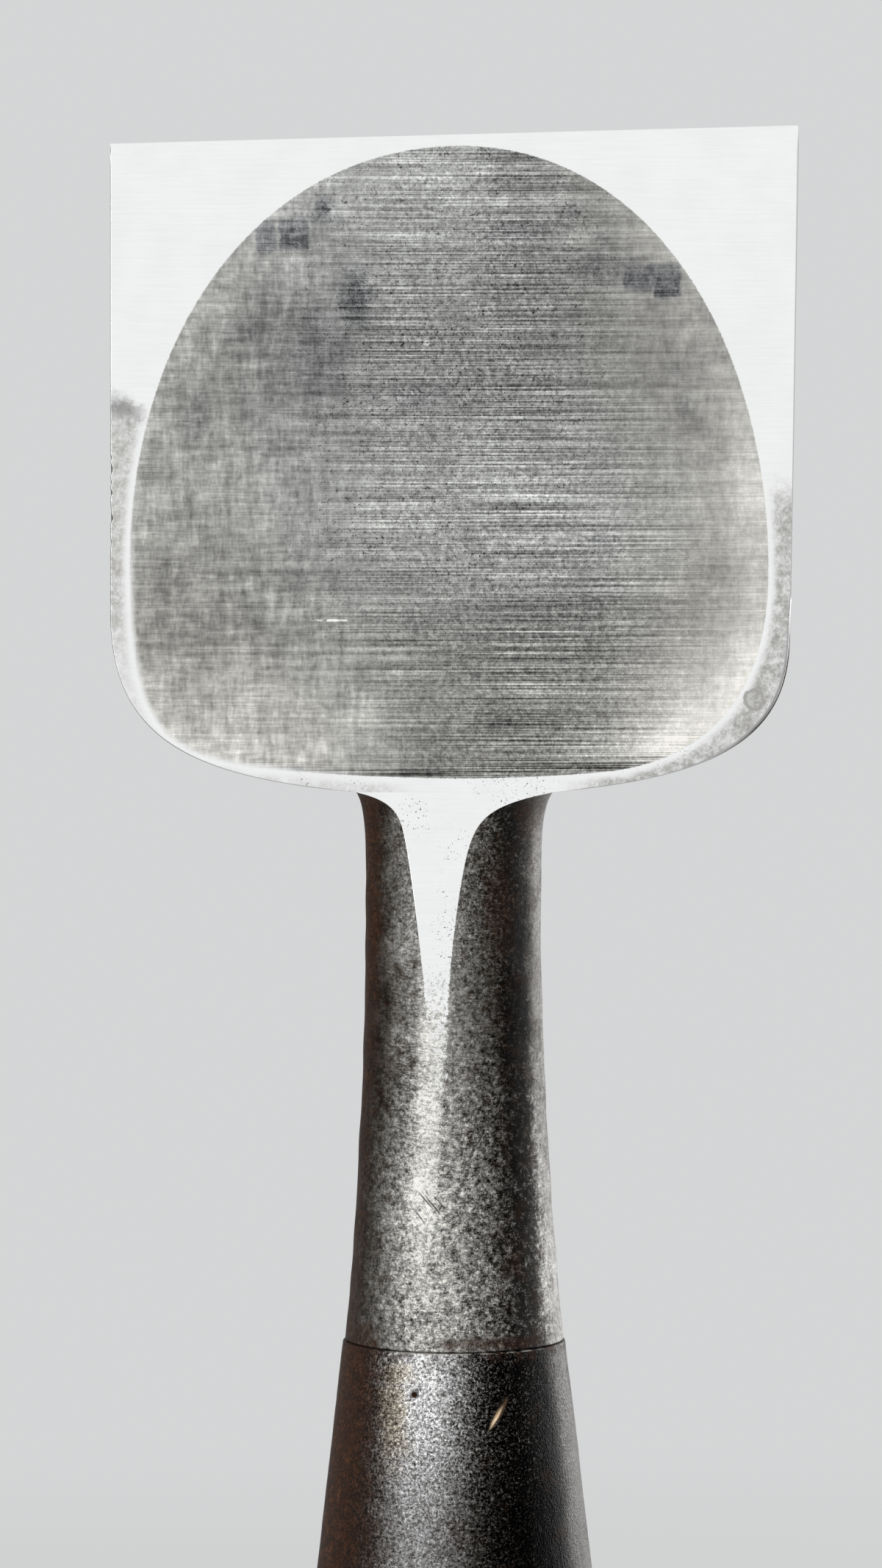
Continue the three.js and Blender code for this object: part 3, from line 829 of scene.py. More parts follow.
class Paint(Nodes):
    """Builds one material. Places are in millimetres, with z measured from the blade's heel."""

    def __init__(self, name):
        self.material = bpy.data.materials.new(name)
        self.material.use_nodes = True
        super().__init__(self.material.node_tree)
        object_place = self.add("ShaderNodeTexCoord").outputs["Object"]
        scaled = self.vector("SCALE", object_place, scale=1 / MM)
        self.place = self.vector("SUBTRACT", scaled, (0, 0, HEEL_Z))
        parts = self.add("ShaderNodeSeparateXYZ", self.place).outputs
        self.x, self.y, self.z = (Value(self, part) for part in parts)
        self.rag = self.noise(1.2, 4, 0.7)

    def vector(self, operation, a, b=None, scale=None):
        node = self.add("ShaderNodeVectorMath", a, b, operation=operation)
        if scale is not None:
            self.put(node.inputs["Scale"], scale)
        if operation in ("LENGTH", "DOT_PRODUCT"):
            return Value(self, node.outputs["Value"])
        return node.outputs["Vector"]

    def stretched_length(self, place, stretch):
        return self.vector("LENGTH", self.vector("MULTIPLY", place, stretch))

    def turned(self, place, degrees):
        """A place turned round an axis that points into the back."""
        node = self.add("ShaderNodeVectorRotate", place, rotation_type="Y_AXIS")
        node.inputs["Angle"].default_value = math.radians(degrees)
        return node.outputs[0]

    def noise(self, scale, detail=2.0, roughness=0.5, stretch=None, at=None):
        place = at or self.place
        if stretch:
            place = self.vector("MULTIPLY", place, stretch)
        return self.value("ShaderNodeTexNoise", place, None, scale, detail, roughness)

    def attribute(self, name):
        return Value(self, self.add("ShaderNodeAttribute", attribute_name=name).outputs["Fac"])

    def mix(self, share, a, b, first_input, **settings):
        node = self.add("ShaderNodeMix", share, **settings)
        self.put(node.inputs[first_input], a)
        self.put(node.inputs[first_input + 1], b)
        return node.outputs

    def between(self, share, a, b):
        """A number between a and b."""
        return Value(self, self.mix(share, a, b, 2, data_type="FLOAT")[0])

    def blend(self, share, a, b, mode="MIX"):
        """A colour between a and b."""
        a, b = ((*colour, 1.0) if isinstance(colour, tuple) else colour for colour in (a, b))
        return self.mix(share, a, b, 6, data_type="RGBA", blend_type=mode)[2]

    def shade(self, colour, factor):
        return self.vector("SCALE", colour, scale=factor)

    def seen(self, level, tint):
        """The colour that looks level bright, 0 to 1, with a tint."""
        return self.shade(tint, self.math("POWER", self.least(self.most(level, 0.02), 1.0), 2.2))

    def spot(self, x, z, half_width, half_height, softness=0.6, ragged=0.5, lean=0.0):
        """A soft ragged spot round (x, z), in mm from the middle and the heel, used for stains and also for
        painted highlights and painted shade.
        """
        place = self.vector("SUBTRACT", self.place, (x, 0, z))
        if lean:
            place = self.turned(place, lean)
        distance = self.stretched_length(place, (1 / half_width, 0, 1 / half_height))
        return (distance + self.rag.swing(2 * ragged)).ramp(1 + softness / 2, 1 - softness / 2)

    def spots(self, *marks):
        return self.most(*[self.spot(*mark) for mark in marks])

    def patch(self, left, right, low, high):
        """A square-cornered stain with slightly ragged sides."""
        wander = self.rag.swing(0.5)
        soft = 0.15
        across = (self.x + wander).hump(left - soft, left + soft, right - soft, right + soft)
        return across * (self.z + wander).hump(low - soft, low + soft, high - soft, high + soft)

    def finish(self, colour, roughness, height, **constants):
        shader = self.add("ShaderNodeBsdfPrincipled")
        bump_node = self.add("ShaderNodeBump")
        bump_node.inputs["Strength"].default_value = 1.0
        bump_node.inputs["Distance"].default_value = 1.0
        self.put(bump_node.inputs["Height"], height * MM)
        constants.update(Base_Color=colour, Roughness=roughness, Normal=bump_node.outputs["Normal"])
        for key, value in constants.items():
            self.put(shader.inputs[key.replace("_", " ")], value)
        self.add("ShaderNodeOutputMaterial", shader.outputs[0])
        return self.material


LAND = (0.90, 0.905, 0.90)
LAND_ROUGHNESS = 0.12
LAND_DULL = (0.405, 0.395, 0.37)
LAND_DULL_ROUGHNESS = 0.42
LAND_SMUDGE = (0.16, 0.16, 0.155)
PIT = (0.05, 0.05, 0.052)
PIT_DEPTH = 0.006
HOLLOW_WARM = (1.0, 0.98, 0.915)
HOLLOW_COOL = (1.0, 1.01, 0.98)
HOLLOW_STAINED = (0.975, 0.99, 1.02)
HOLLOW_LEVEL = 0.60
GROOVE_DEPTH = 0.012
GROUND_ROUGHNESS = 0.40
SIDE_WORN, SIDE_BROWN, SIDE_BEVEL = (0.21, 0.20, 0.185), (0.085, 0.07, 0.058), (0.34, 0.345, 0.34)
# Colours of the worn-round outer edge: a painted highlight on the right and painted shade on the left.
EDGE_LIT_WORN, EDGE_SHADED = (0.6, 0.6, 0.61), (0.12, 0.12, 0.125)
# Stains in the hollow: x, height above the heel, half width, half height, strength
HOLLOW_STAINS = [
    (-8.0, 35.7, 0.45, 0.8, 0.18), (-6.0, 30.2, 0.9, 1.5, 0.15), (9.2, 32.0, 2.2, 0.9, 0.08),
    (-15.7, 23.1, 0.7, 1.4, 0.06), (-12.2, 28.3, 1.6, 0.5, 0.06), (-8.4, 26.5, 1.8, 2.8, 0.05),
    (-2.4, 24.2, 3.0, 0.9, 0.03), (4.2, 34.3, 2.2, 0.8, 0.04), (8.0, 12.5, 2.6, 0.7, 0.04),
    (9.0, 15.6, 1.0, 0.35, 0.07), (7.1, 35.6, 0.6, 0.4, 0.08), (8.9, 33.8, 0.5, 0.4, 0.08),
    (13.4, 25.8, 0.6, 0.5, 0.06), (14.0, 23.6, 0.5, 0.8, 0.05),
]
# Square-cornered stains in the hollow: left, right, low, high and strength
HOLLOW_PATCHES = [
    (-12.1, -10.9, 32.9, 34.9, 0.15), (-10.7, -8.9, 33.1, 35.0, 0.19), (-10.0, -6.8, 34.7, 35.3, 0.10),
    (10.3, 13.8, 30.6, 32.2, 0.17), (12.2, 13.8, 30.2, 31.4, 0.25),
]
# Brighter and darker zones of the hollow: amount, ends across and ends upwards
HOLLOW_ZONES = [
    (0.18, (8, 14), (14, 7)), (0.13, (-2, -9), (12, 6)), (0.07, (-11, -15), (20, 25, 30, 33)),
    (0.09, (4, 0), (33.5, 38)), (-0.05, (-1, 4, 9, 12), (25, 31)), (-0.08, (-6, -3, 5, 9), (6.5, 4)),
]


def polished(paint):
    """Colour and pits of the polished flat back, which the lands and the tongue share."""
    haze = paint.noise(0.35, 3, 0.6)
    lines = paint.noise(1, 3, 0.6, stretch=(0.25, 0, 6))
    tone = haze.ramp(0.3, 0.7, 0.985, 1.015) + lines.swing(0.10)
    cluster = paint.noise(0.45, 2, 0.6).ramp(0.5, 0.62)
    dots = paint.noise(6.5, 3, 0.7).ramp(0.60, 0.66) * cluster * paint.z.ramp(3.4, 1.4)
    return paint.blend(dots, paint.shade(LAND, tone), PIT), dots


def honed_bevel(paint, tone, contrast):
    """1 on the plane of the cutting bevel and 0 off it, and the bevel's colour with lines from the stone."""
    normal = (-math.sin(EDGE_SKEW) * math.sin(BEVEL_ANGLE), math.cos(BEVEL_ANGLE),
              math.cos(EDGE_SKEW) * math.sin(BEVEL_ANGLE))
    level = normal[1] * BACK_Y + normal[2] * BLADE_LENGTH
    gap = paint.vector("DOT_PRODUCT", paint.place, normal) - level
    stone = paint.noise(1, 3, 0.6, stretch=(0.3, 4, 4))
    return gap.ramp(-0.05, -0.02), paint.shade(tone, stone.ramp(0.3, 0.7, 1 - contrast, 1 + contrast))


def land_dullness(paint, inset):
    """The dull zones of the side lands, with a brighter strip along the hollow, and a ring stain."""
    x, z, rag = paint.x, paint.z, paint.rag
    left = x.ramp(-2, -6) * (z + rag * 3.0).ramp(25.4, 23.6)
    right = x.ramp(6, 9) * (z + rag * 5.0).ramp(22.5, 18.6)
    dullness = paint.noise(1.1, 5, 0.9).ramp(0.34, 0.66, 0.22, 1.0)
    bright_low_left = x.ramp(-2, -8) * z.ramp(12, 7)
    dull = paint.most(left, right) * dullness * inset.ramp(-0.1, -0.75) * (1 - bright_low_left * 0.6)
    upper_end = x.ramp(-18.5, -19.5) * abs(z + rag * 3.0 - 24.9).ramp(0.5, 0.1)
    from_ring = paint.vector("SUBTRACT", paint.place, (18.3, 0, 5.6))
    distance = paint.stretched_length(from_ring, (1, 0, 0.9)) + rag.swing(0.7)
    ring = abs(distance - 0.5).ramp(0.26, 0.05)
    disc = distance.ramp(0.75, 0.45)
    return paint.most(dull, upper_end * 0.5, ring * 0.9, disc * 0.6)


def hollow_stains(paint):
    spots = [paint.spot(*spot, 1.2, 0.9) * strength for *spot, strength in HOLLOW_STAINS]
    patches = [paint.patch(*sides) * strength for *sides, strength in HOLLOW_PATCHES]
    return paint.most(*spots, *patches)


def hollow_finish(paint, inset):
    """Colour and grooves: fine lines right across, softer towards both sides, with stains and specks."""
    x, z = paint.x, paint.z
    lines = paint.noise(1, 1, 1.0, stretch=(0.06, 0, 9.0))
    coarse = paint.noise(1, 0, 0.5, stretch=(0.03, 0, 3.6))
    bands = paint.noise(1, 1, 0.9, stretch=(0.02, 0, 0.7))
    speckle = paint.noise(3.2, 3, 1.0)
    upright, level_streaks = (paint.noise(1, 2, 0.85, stretch=s) for s in ((2.0, 0, 0.6), (0.45, 0, 2.2)))
    woven = (upright + level_streaks) * 0.5
    clouds = paint.noise(0.35, 4, 0.75)
    smear = paint.noise(1, 3, 0.7, stretch=(1.1, 0, 0.3))
    on_left = (x - z.ramp(13, 4, 0.0, 3.0)).ramp(-0.5, -11)
    on_right = (x - z.ramp(30, 14, 0.0, 5.0)).ramp(2, 13)
    crisp = 1.0 - on_left * 0.80 - on_right * 0.80

    level = HOLLOW_LEVEL + paint.math("COSINE", (z - 17.5) * 0.36) * 0.05
    level += lines.swing(1.15) * crisp * clouds.ramp(0.35, 0.65, 0.80, 1.20)
    level += (coarse.swing(0.11) + bands.swing(0.16)) * (0.6 + crisp * 0.4)
    level += clouds.swing(0.32) + speckle.swing(1.05) * crisp
    level += woven.swing(0.85) * paint.most(on_left, on_right * 0.6) + smear.swing(0.36) * on_left
    # Painted highlight: a lighter band just inside the hollow's rim, strongest on the right.
    level += inset.ramp(3.6, 0.4) * x.ramp(8, 13) * z.ramp(33, 20, 0.3, 1.2) * 0.14
    level += inset.ramp(2.6, 0.3) * x.ramp(-8, -13) * 0.05
    for amount, across, up in HOLLOW_ZONES:
        level += x.within(across) * z.within(up) * amount
    # Painted shadow: darker lines along the bottom of the hollow, at its low left rim.
    foot = inset.ramp(0.9, 0.2) * z.ramp(4.5, 2) * x.ramp(-15, -11)
    level += foot * lines.ramp(0.35, 0.6, -0.26, -0.06)

    specks = paint.noise(5.5, 3, 0.8).ramp(0.575, 0.63) * clouds.ramp(0.38, 0.52)
    specks = specks * x.hump(-13, -6, 6, 12) * z.ramp(8, 14, 0.25, 1.0)
    stained = hollow_stains(paint) * (lines + speckle.swing(1.5)).ramp(0.3, 0.7, 1.25, 0.75)
    nick = paint.spot(-1.72, 27.45, 0.19, 0.15, 0.5, 0.3) - paint.spot(-1.66, 27.5, 0.1, 0.07, 0.6, 0.3)
    glints = paint.spot(-7.5, 10.5, 1.15, 0.07, 0.5, 0.1) * paint.noise(2.6, 0).ramp(0.42, 0.55)
    level += nick * 0.3 + glints * 0.35 - stained - specks * 0.32

    warm = paint.most(on_right, x.ramp(-6, -17, 0.0, 0.7)) * 0.8 + z.ramp(20, 4, 0.0, 0.6)
    warm = paint.least(warm, 1.0) + paint.spot(-12.5, 3.2, 3.6, 2.0, 1.6, 0.8)
    tint = paint.blend(warm, HOLLOW_COOL, HOLLOW_WARM)
    tint = paint.blend(paint.least(stained * 5.0, 1.0), tint, HOLLOW_STAINED)
    return paint.seen(level, tint), lines.swing(GROOVE_DEPTH) * crisp


def steel_sides(paint):
    """The upright sides, duller and a little brown, with their strip of the cutting bevel."""
    worn = paint.noise(1, 5, 0.8, stretch=(1.6, 1.6, 0.5))
    side = paint.blend(worn.ramp(0.35, 0.68), SIDE_WORN, SIDE_BROWN)
    on_bevel, honed = honed_bevel(paint, SIDE_BEVEL, 0.12)
    return paint.blend(on_bevel, side, honed)


def steel_material():
    paint = Paint("ground_steel")
    inset = paint.attribute("inset")
    land, dots = polished(paint)
    dull = land_dullness(paint, inset)
    land = paint.blend(dull, land, LAND_DULL)
    smudge = paint.spot(-20.6, 23.5, 1.3, 0.65, 1.8, 1.3, -25)
    land = paint.blend(smudge * 0.65, land, LAND_SMUDGE)

    hollow, grooves = hollow_finish(paint, inset)
    edge = inset + paint.noise(7, 2, 0.6).swing(0.12)
    soft = paint.x.ramp(-4, -12) * paint.z.ramp(24, 9)
    hollow_share = paint.between(soft, edge.ramp(-0.02, 0.05), edge.ramp(-0.15, 0.45))
    colour = paint.blend(hollow_share, land, hollow)

    # The worn-round outer edge: a painted highlight on the right, and painted shade on the left, where it is
    # also made matt and not metallic.
    rounded = paint.y.ramp(BACK_Y + 0.001, BACK_Y + 0.01) * inset.ramp(0.0, -0.1)
    left_rounded = rounded * paint.x.ramp(-12, -18)
    colour = paint.blend(rounded, colour, paint.blend(left_rounded, EDGE_LIT_WORN, EDGE_SHADED))
    side_share = paint.y.ramp(BACK_Y + 0.05, BACK_Y + 0.2) * (1 - inset.ramp(-0.4, 0.0))
    colour = paint.blend(side_share, colour, steel_sides(paint))

    roughness = dull.ramp(0, 1, LAND_ROUGHNESS, LAND_DULL_ROUGHNESS)
    roughness = paint.between(hollow_share, roughness, GROUND_ROUGHNESS)
    roughness = paint.between(side_share, roughness, GROUND_ROUGHNESS) + left_rounded * 0.3
    height = grooves * inset.ramp(0.0, 0.5) - dots * PIT_DEPTH
    return paint.finish(colour, roughness, height, Metallic=1 - left_rounded)


IRON_DARK = (1.0, 0.87, 0.70)
IRON_BRIGHT = (1.0, 0.985, 0.935)
RUST_BROWN = (0.029, 0.0093, 0.0022)
RUST_ORANGE = (0.088, 0.033, 0.011)
IRON_BEVEL = (0.24, 0.24, 0.235)
IRON_ROUGHNESS, RUST_ROUGHNESS = 0.40, 0.25
IRON_GRAIN_HEIGHT = 0.07
IRON_SPECULAR = 0.15
# Short dark scratches and a nick on the neck's back: x, z, half width, half height and lean in degrees
NECK_SCRATCHES = [
    (-1.75, -24.9, 0.05, 0.7, 42), (-1.3, -25.2, 0.05, 0.8, 40), (-0.9, -25.0, 0.04, 0.6, 44),
    (-2.1, -25.9, 0.04, 0.5, 38), (1.08, -22.0, 0.09, 0.42, -18), (1.5, -21.3, 0.05, 0.3, -30),
]
SCRATCH_TONE = (0.02, 0.018, 0.016)


def old_iron(paint, level, spread, rust, speckle):
    """Colour, roughness, height and metallic share of old dark iron with a fine speckle.

    level is how bright the iron is, 0 to 1, spread how strong its speckle is and rust how rusty it is.
    """
    scratches = paint.noise(1, 2, 0.8, stretch=(2, 2, 9))
    grain = speckle - 0.5 + scratches.swing(0.2)
    level = level + grain * spread
    colour = paint.seen(level, paint.blend(level.ramp(0.12, 0.5), IRON_DARK, IRON_BRIGHT))
    rusty = paint.blend(paint.noise(1.6, 5, 0.8).ramp(0.46, 0.72), RUST_BROWN, RUST_ORANGE)
    rusty = paint.shade(rusty, grain.ramp(-0.12, 0.12, 0.35, 1.7))
    roughness = IRON_ROUGHNESS + rust * RUST_ROUGHNESS
    return paint.blend(rust, colour, rusty), roughness, grain * IRON_GRAIN_HEIGHT, 1 - rust


def neck_level_and_light(paint, drop, across, low, back, clouds):
    """How bright the iron is, with painted light on the neck's back: dark flanks, painted highlights on the
    crown, the ridge and the right rim, a painted shade band beside the rim and a faint painted sheen on the
    left.
    """
    narrow = drop.hump(10, 14, 18, 24)
    # crown: a painted highlight down the neck's crown, where the lamp is mirrored on the round back.
    crown = across.hump(paint.between(narrow, -0.95, -0.86) - low * 0.08,
                        paint.between(narrow, -0.36, -0.28), -0.14, 0.72)
    # A faint painted sheen on the upper left flank.
    left_sheen_band = across.hump(-0.96, -0.84, -0.66, -0.42) * (1 - low)
    # ridge: a painted highlight streak left of the middle, where the lamp's reflection runs.
    ridge = (paint.x + drop.ramp(11, 28, 1.15, 1.95)).hump(-1.4, -0.3, 0.3, 1.1) * drop.hump(8, 14, 22, 34)
    # A painted shade band beside the right rim.
    right_shade_band = across.hump(0.42, 0.62, 0.74, 0.84)
    # right_rim: a painted rim highlight along the neck's right edge.
    rim_foot = paint.most(0.80 - low * 0.25, 0.70)
    right_rim = across.ramp(rim_foot, rim_foot + 0.15, 0.0, 0.25 + low * 0.16)
    # The painted highlights and shade band, laid on the back of the neck only.
    back_light_and_shade = crown * (0.38 + low * 0.12) + ridge * 0.31 - right_shade_band * 0.15 + right_rim + left_sheen_band * 0.05
    level = 0.355 + clouds.swing(paint.between(back, 0.34, 0.38)) + back * (back_light_and_shade - 0.19)
    hatch = paint.noise(1, 1, 1.0, stretch=(1.3, 0, 12), at=paint.turned(paint.place, -12))
    hatched = drop.hump(9, 14, 19, 24) * paint.x.hump(-4.6, -3.2, -1.2, 0.2)
    return level + hatch.swing(0.5) * hatched * back


def tongue_share(paint, drop):
    """1 on the tongue, level with the back, breaking up towards its end."""
    reach = drop.ramp(12.0, 22.0, 0.006, -0.03)
    broken = paint.noise(3.0, 3, 1.0).swing(drop.ramp(9, 20, 0.002, 0.30))
    return (paint.y - BACK_Y + broken).ramp(reach, reach - 0.005) * drop.ramp(21.0, 17.0)


def iron_material():
    paint = Paint("forged_iron")
    clouds = paint.noise(0.45, 4, 0.7)
    drop = paint.z * -1.0
    on_neck = drop.ramp(-0.2, 0.2)
    low = drop.ramp(10, 30)
    back = paint.y.ramp(0.8, -1.6) * on_neck
    across = paint.x / drop.ramp(6, 38, WAIST_HALF, 7.0) + clouds.swing(0.12)
    behind = (paint.y + clouds.swing(6.0)).ramp(3.8, -1.0)
    left_edge = across.ramp(-0.72, -0.95) * behind * on_neck
    blotches = paint.noise(0.8, 5, 0.85).ramp(0.50, 0.64) * back
    level = neck_level_and_light(paint, drop, across, low, back, clouds) - blotches * 0.11 - left_edge * 0.05
    even = across.ramp(0.72, 0.90, 1.0, 0.4) * across.ramp(-0.42, -0.78, 1.0, 0.45)
    spread = (2.4 + low * 1.2) * paint.between(back, 0.34, even)
    speckle = paint.between(drop.ramp(6, 20), paint.noise(3.9, 4, 1.0), paint.noise(2.6, 5, 1.0))

    high = paint.spots((2.6, -7.0, 1.0, 3.0, 1.4, 1.0), (4.7, -1.2, 0.9, 1.1, 1.0, 0.9))
    at_seam = paint.spots((2.0, -33.5, 3.2, 0.4, 1.0, 1.0), (-5.6, -33.4, 1.2, 0.8, 1.0, 1.0))
    patches = paint.noise(0.30, 5, 0.75).ramp(0.54, 0.72)
    rust = paint.most(left_edge * drop.ramp(8, 16, 0.9, 0.7), high * back * 0.4, at_seam * back * 0.7,
                      patches * 0.35, blotches * 0.25)
    colour, roughness, height, metallic = old_iron(paint, level, spread, rust, speckle)
    scratches = paint.most(*[paint.spot(*mark, 0.8, 0.4, lean) for *mark, lean in NECK_SCRATCHES])
    colour = paint.blend(scratches * back * 0.8, colour, SCRATCH_TONE)

    honed, honed_tone = honed_bevel(paint, IRON_BEVEL, 0.25)
    colour = paint.blend(honed, colour, honed_tone)
    land, dots = polished(paint)
    flat = tongue_share(paint, drop)
    colour = paint.blend(flat, colour, land)
    roughness = paint.between(flat, paint.between(honed, roughness, 0.5), LAND_ROUGHNESS)
    height = height * (1 - paint.most(flat, honed)) - dots * flat * PIT_DEPTH
    return paint.finish(colour, roughness, height, Metallic=paint.most(metallic, honed, flat),
                        Specular_IOR_Level=IRON_SPECULAR)


# Marks on the ferrule's back, as spots with their colours: painted shade round a nick, the bare metal in it
# brightened by a painted highlight, and a pit
FERRULE_SPOTS = [
    ((2.68, -37.66, 0.20, 0.98, 0.6, 0.2, -30), (0.07, 0.045, 0.03)),
    ((2.50, -37.90, 0.11, 0.68, 0.8, 0.35, -30), (0.80, 0.64, 0.44)),
    ((-2.45, -36.55, 0.17, 0.17, 0.5, 0.3), (0.03, 0.014, 0.008)),
]
FERRULE_TAPER = 0.115
FERRULE_TINT = (0.99, 1.0, 1.05)
WORN_LIP_HIGHLIGHT = (0.5, 0.47, 0.42)
TAN = (1.0, 0.91, 0.76)


def ferrule_material():
    paint = Paint("ferrule_scale")
    clouds = paint.noise(0.45, 4, 0.7)
    below = SEAM_Z - HEEL_Z - paint.z
    back = paint.y.ramp(1.2, -2.0)
    across = paint.x / (FERRULE_SMALL_RADIUS + below * FERRULE_TAPER) + clouds.swing(0.12)
    # Painted light on the ferrule's back: crown is a painted highlight down the middle, rim a painted rim
    # highlight on the right, and shade a painted shade band between them.
    crown = across.hump(-0.90, -0.32, -0.20, 0.42) * below.ramp(0.5, 12, 1.0, 0.62)
    rim = across.hump(0.78, 0.89, 0.96, 1.04)
    shade = across.hump(0.36, 0.56, 0.76, 0.86)
    # The painted highlights and shade band set how bright the ferrule's back is.
    level = 0.28 + clouds.swing(0.12) + back * (crown * 0.66 + rim * 0.26 - shade * 0.06 - 0.23)
    even = paint.between(back, 0.4, abs(across).ramp(0.60, 0.82, 1.0, 0.4))
    spread = below.ramp(3, 12, 2.25, 1.3) * even
    left_edge = (across + paint.rag.swing(0.5)).ramp(-0.40, -0.95) * back
    lip = below.ramp(0.9, 0.1) * paint.rag.ramp(0.45, 0.6) * abs(paint.x + 0.3).ramp(1.0, 3.5, 0.25, 1.0)
    rust = paint.most(left_edge * 0.95, lip * 0.7, clouds.ramp(0.56, 0.70) * 0.3)
    colour, roughness, height, metallic = old_iron(paint, level, spread, rust, paint.noise(5.5, 2, 1.0))
    colour = paint.vector("MULTIPLY", colour, FERRULE_TINT)
    tan = paint.spots((-3.8, -35.4, 1.0, 0.8, 1.4, 1.2), (-3.9, -38.0, 0.9, 2.6, 1.4, 1.2))
    colour = paint.blend(tan * back, colour, TAN, "MULTIPLY")
    # A bright lip along the ferrule's top edge: worn metal with a painted highlight.
    edge = below.ramp(0.14, 0.06) * paint.noise(1.5, 3, 0.7).ramp(0.42, 0.6) * paint.x.hump(-5, -3, 4, 6)
    colour = paint.blend(edge, colour, WORN_LIP_HIGHLIGHT)
    # The nick's painted shade and painted highlight, and the dark pit.
    for spot, tone in FERRULE_SPOTS:
        colour = paint.blend(paint.spot(*spot) * back, colour, tone)
    return paint.finish(colour, roughness, height, Metallic=metallic, Specular_IOR_Level=IRON_SPECULAR)


def hoop_material():
    paint = Paint("hammered_iron")
    clouds = paint.noise(0.4, 4, 0.7)
    above_low, below_high = paint.z - (HOOP_LOW_Z - HEEL_Z), HOOP_HIGH_Z - HEEL_Z - paint.z
    rims = paint.most(above_low.ramp(0.7, 0.1), below_high.ramp(0.7, 0.1))
    level = 0.29 + clouds.swing(0.5) + rims * 0.18
    rust = paint.noise(0.35, 5, 0.75).ramp(0.47, 0.64) * 0.65
    colour, roughness, height, metallic = old_iron(paint, level, 1.2, rust, paint.noise(1.6, 4, 1.0))
    return paint.finish(colour, roughness, height, Metallic=metallic, Specular_IOR_Level=0.25)


WOOD_EARLY, WOOD_LATE = (0.32, 0.175, 0.085), (0.20, 0.10, 0.046)
WOOD_FLECK, WOOD_PORE, WOOD_DARKER = (0.46, 0.28, 0.14), (0.06, 0.028, 0.014), (0.085, 0.042, 0.022)
WOOD_RELIEF = 0.05
WOOD_END_DARK, WOOD_END_PALE = (0.11, 0.062, 0.035), (0.30, 0.19, 0.11)


def wood_material():
    paint = Paint("oiled_oak")
    height_above = paint.z + HEEL_Z
    off_centre = paint.vector("ADD", paint.place, (9.0, 4.0, 0.0))
    warp = paint.noise(0.05, 3, 0.5, stretch=(1, 1, 0.25))
    uneven = paint.noise(1, 2, 0.6, stretch=(0.3, 0.3, 0.012))
    rings = paint.stretched_length(off_centre, (1, 1, 0.02)) + warp * 6.0 + uneven.swing(5.0)
    growth = paint.math("SINE", rings * 4.2)
    late = growth.ramp(-0.1, 0.95) * uneven.ramp(0.35, 0.6, 0.9, 0.45)
    fibres = paint.noise(1, 4, 0.65, stretch=(3.2, 3.2, 0.12))
    pores = paint.noise(1, 2, 0.6, stretch=(6.5, 6.5, 0.3)).ramp(0.58, 0.68)
    pores = pores * growth.ramp(-0.6, 0.6, 0.35, 1.0)
    flecks = paint.noise(1, 2, 0.6, stretch=(1.6, 1.6, 0.5)).ramp(0.60, 0.72)
    colour = paint.shade(paint.blend(late, WOOD_EARLY, WOOD_LATE), fibres.ramp(0.3, 0.7, 0.78, 1.25))
    colour = paint.blend(flecks * 0.3, colour, WOOD_FLECK)
    colour = paint.blend(pores * 0.7, colour, WOOD_PORE)
    grime = paint.noise(0.16, 5, 0.7, stretch=(1, 1, 0.4)).ramp(0.40, 0.72)
    # Darker within a few millimetres of the hoop and of the ferrule.
    ends = paint.most(height_above.ramp(16, 12), height_above.ramp(93, 97.5))
    colour = paint.blend(paint.most(grime * 0.45, ends * 0.6), colour, WOOD_DARKER)
    struck = height_above.ramp(2.2, 0.5)
    end_grain = paint.blend(paint.noise(2.4, 3, 0.6).ramp(0.35, 0.68), WOOD_END_DARK, WOOD_END_PALE)
    colour = paint.blend(struck * 0.8, colour, end_grain)
    roughness = paint.most(fibres.ramp(0.3, 0.7, 0.36, 0.52), struck * 0.75)
    return paint.finish(colour, roughness, fibres * WOOD_RELIEF - pores * WOOD_RELIEF)


# Stage, lights and camera

BACKGROUND = (0.66, 0.665, 0.67, 1.0)
FLOOR_COLOUR = (0.72, 0.72, 0.72, 1.0)
# The floor turns into the background between these distances, in metres
FLOOR_NEAR, FLOOR_FAR = 0.30, 0.75
FLOOR_RINGS = [0.15, 0.3, 0.5, 0.8, 1.4, 2.5, 4.0, 8.0]
FLOOR_SIDES = 96
WORLD_LIGHT = 0.6
LENS = 94.9
CAMERA_PLACE = (-0.00083, -0.2574, 0.1595)


def floor_mesh():
    points = [(0, 0, 0)]
    points += [(r * math.cos(a), r * math.sin(a), 0) for r in FLOOR_RINGS for a in circle(FLOOR_SIDES)]
    faces = []
    for j in range(FLOOR_SIDES):
        k = (j + 1) % FLOOR_SIDES
        faces.append((0, 1 + j, 1 + k))
        for i in range(len(FLOOR_RINGS) - 1):
            a, b = 1 + i * FLOOR_SIDES, 1 + (i + 1) * FLOOR_SIDES
            faces.append((a + j, b + j, b + k, a + k))
    mesh = bpy.data.meshes.new("floor")
    mesh.from_pydata(points, [], faces)
    return mesh


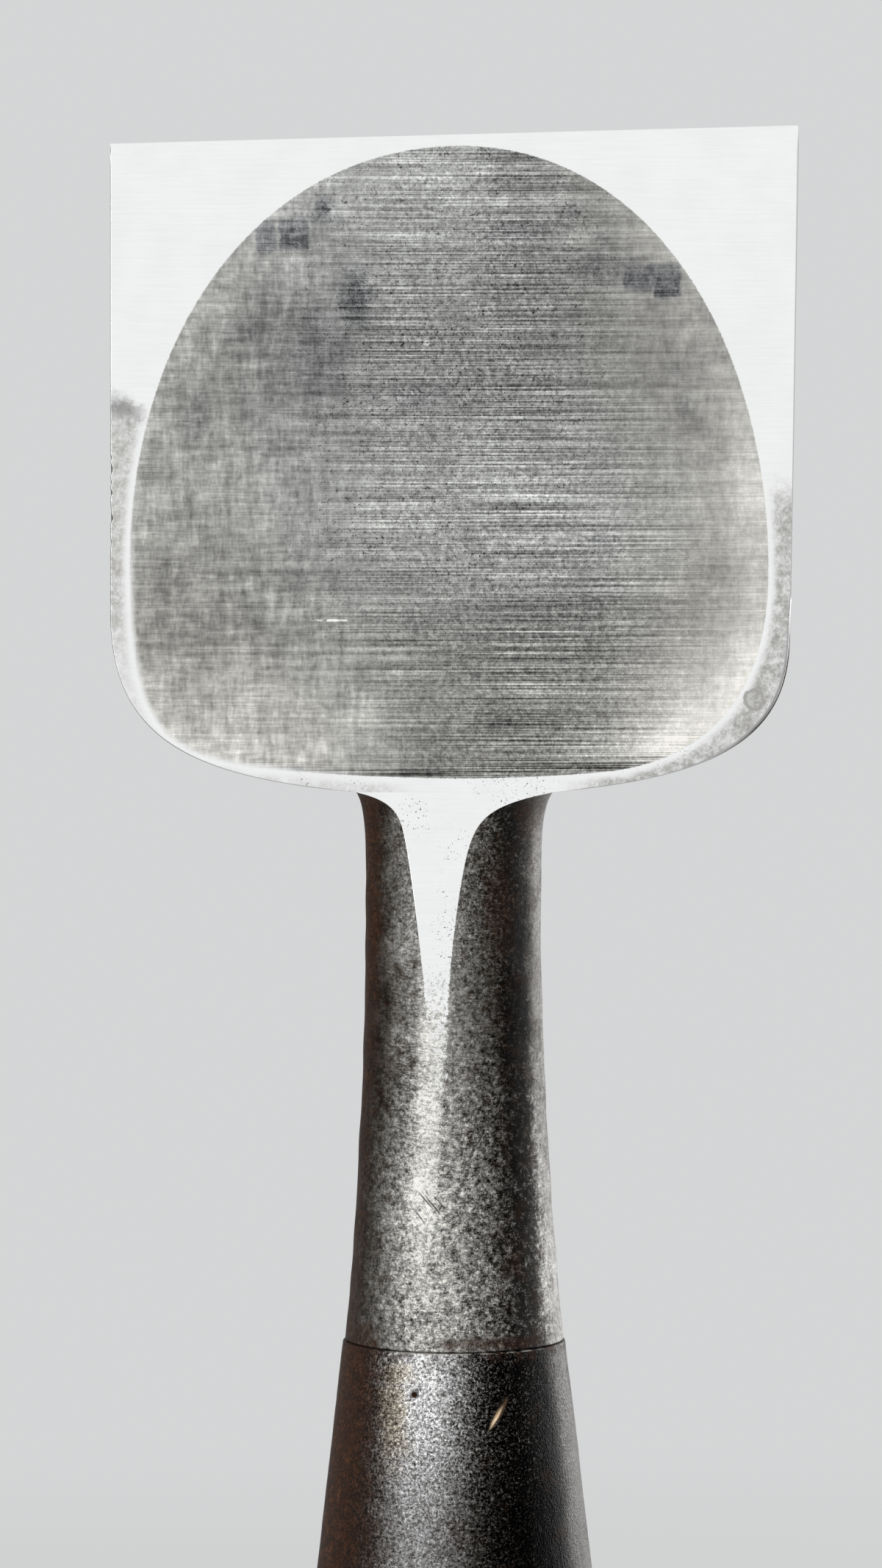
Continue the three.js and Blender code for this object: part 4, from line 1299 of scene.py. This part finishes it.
def floor():
    mesh = floor_mesh()
    new_object("floor", mesh)
    paint = Paint("pale_floor")
    distance = paint.stretched_length(paint.place, (MM, MM, 0))
    matt = paint.add("ShaderNodeBsdfDiffuse", FLOOR_COLOUR)
    glow = paint.add("ShaderNodeEmission", BACKGROUND, 1.0)
    far = distance.ramp(FLOOR_NEAR, FLOOR_FAR) * paint.seen_share()
    both = paint.add("ShaderNodeMixShader", far, matt.outputs[0], glow.outputs[0])
    paint.add("ShaderNodeOutputMaterial", both.outputs[0])
    mesh.materials.append(paint.material)


def world():
    made = bpy.data.worlds.new("studio")
    bpy.context.scene.world = made
    made.use_nodes = True
    nodes = Nodes(made.node_tree)
    light = nodes.add("ShaderNodeBackground", (1, 1, 1, 1), WORLD_LIGHT)
    shown = nodes.add("ShaderNodeBackground", BACKGROUND, 1.0)
    both = nodes.add("ShaderNodeMixShader", nodes.seen_share(), light.outputs[0], shown.outputs[0])
    nodes.add("ShaderNodeOutputWorld", both.outputs[0])


def lamp(name, place, aim, width, height, radiance):
    """A soft rectangular lamp whose face is as bright as radiance says."""
    data = bpy.data.lights.new(name, "AREA")
    data.shape = "RECTANGLE"
    data.size, data.size_y = width, height
    data.energy = radiance * math.pi * width * height
    made = new_object(name, data)
    made.location = place
    made.rotation_euler = (Vector(aim) - Vector(place)).to_track_quat("-Z", "Y").to_euler()
    made.visible_camera = False


def lights():
    blade = (0, 0, 0.16)
    lamp("front_softbox", (-0.02, -0.95, 0.22), (0, 0, 0.165), 0.62, 0.8, 0.30)
    lamp("left_softbox", (-0.40, -0.50, 0.19), blade, 0.30, 0.7, 3.0)
    lamp("right_rim", (0.43, 0.41, 0.19), blade, 0.34, 0.7, 3.0)
    lamp("overhead", (0.1, -0.1, 1.1), blade, 1.0, 1.0, 0.5)


def camera():
    data = bpy.data.cameras.new("camera")
    data.lens = LENS
    data.sensor_width = 36
    data.clip_start = 0.01
    made = new_object("camera", data)
    made.location = CAMERA_PLACE
    made.rotation_euler = (math.pi / 2, 0, 0)
    bpy.context.scene.camera = made


def main():
    bpy.context.scene.view_settings.view_transform = "Standard"
    camera()
    dressed = [
        (steel_face(), steel_material()), (iron_body(), iron_material()),
        (ferrule_shell(), ferrule_material()), (handle_wood(), wood_material()), (hoop_ring(), hoop_material()),
    ]
    for piece, material in dressed:
        piece.data.materials.append(material)
    floor()
    world()
    lights()


main()
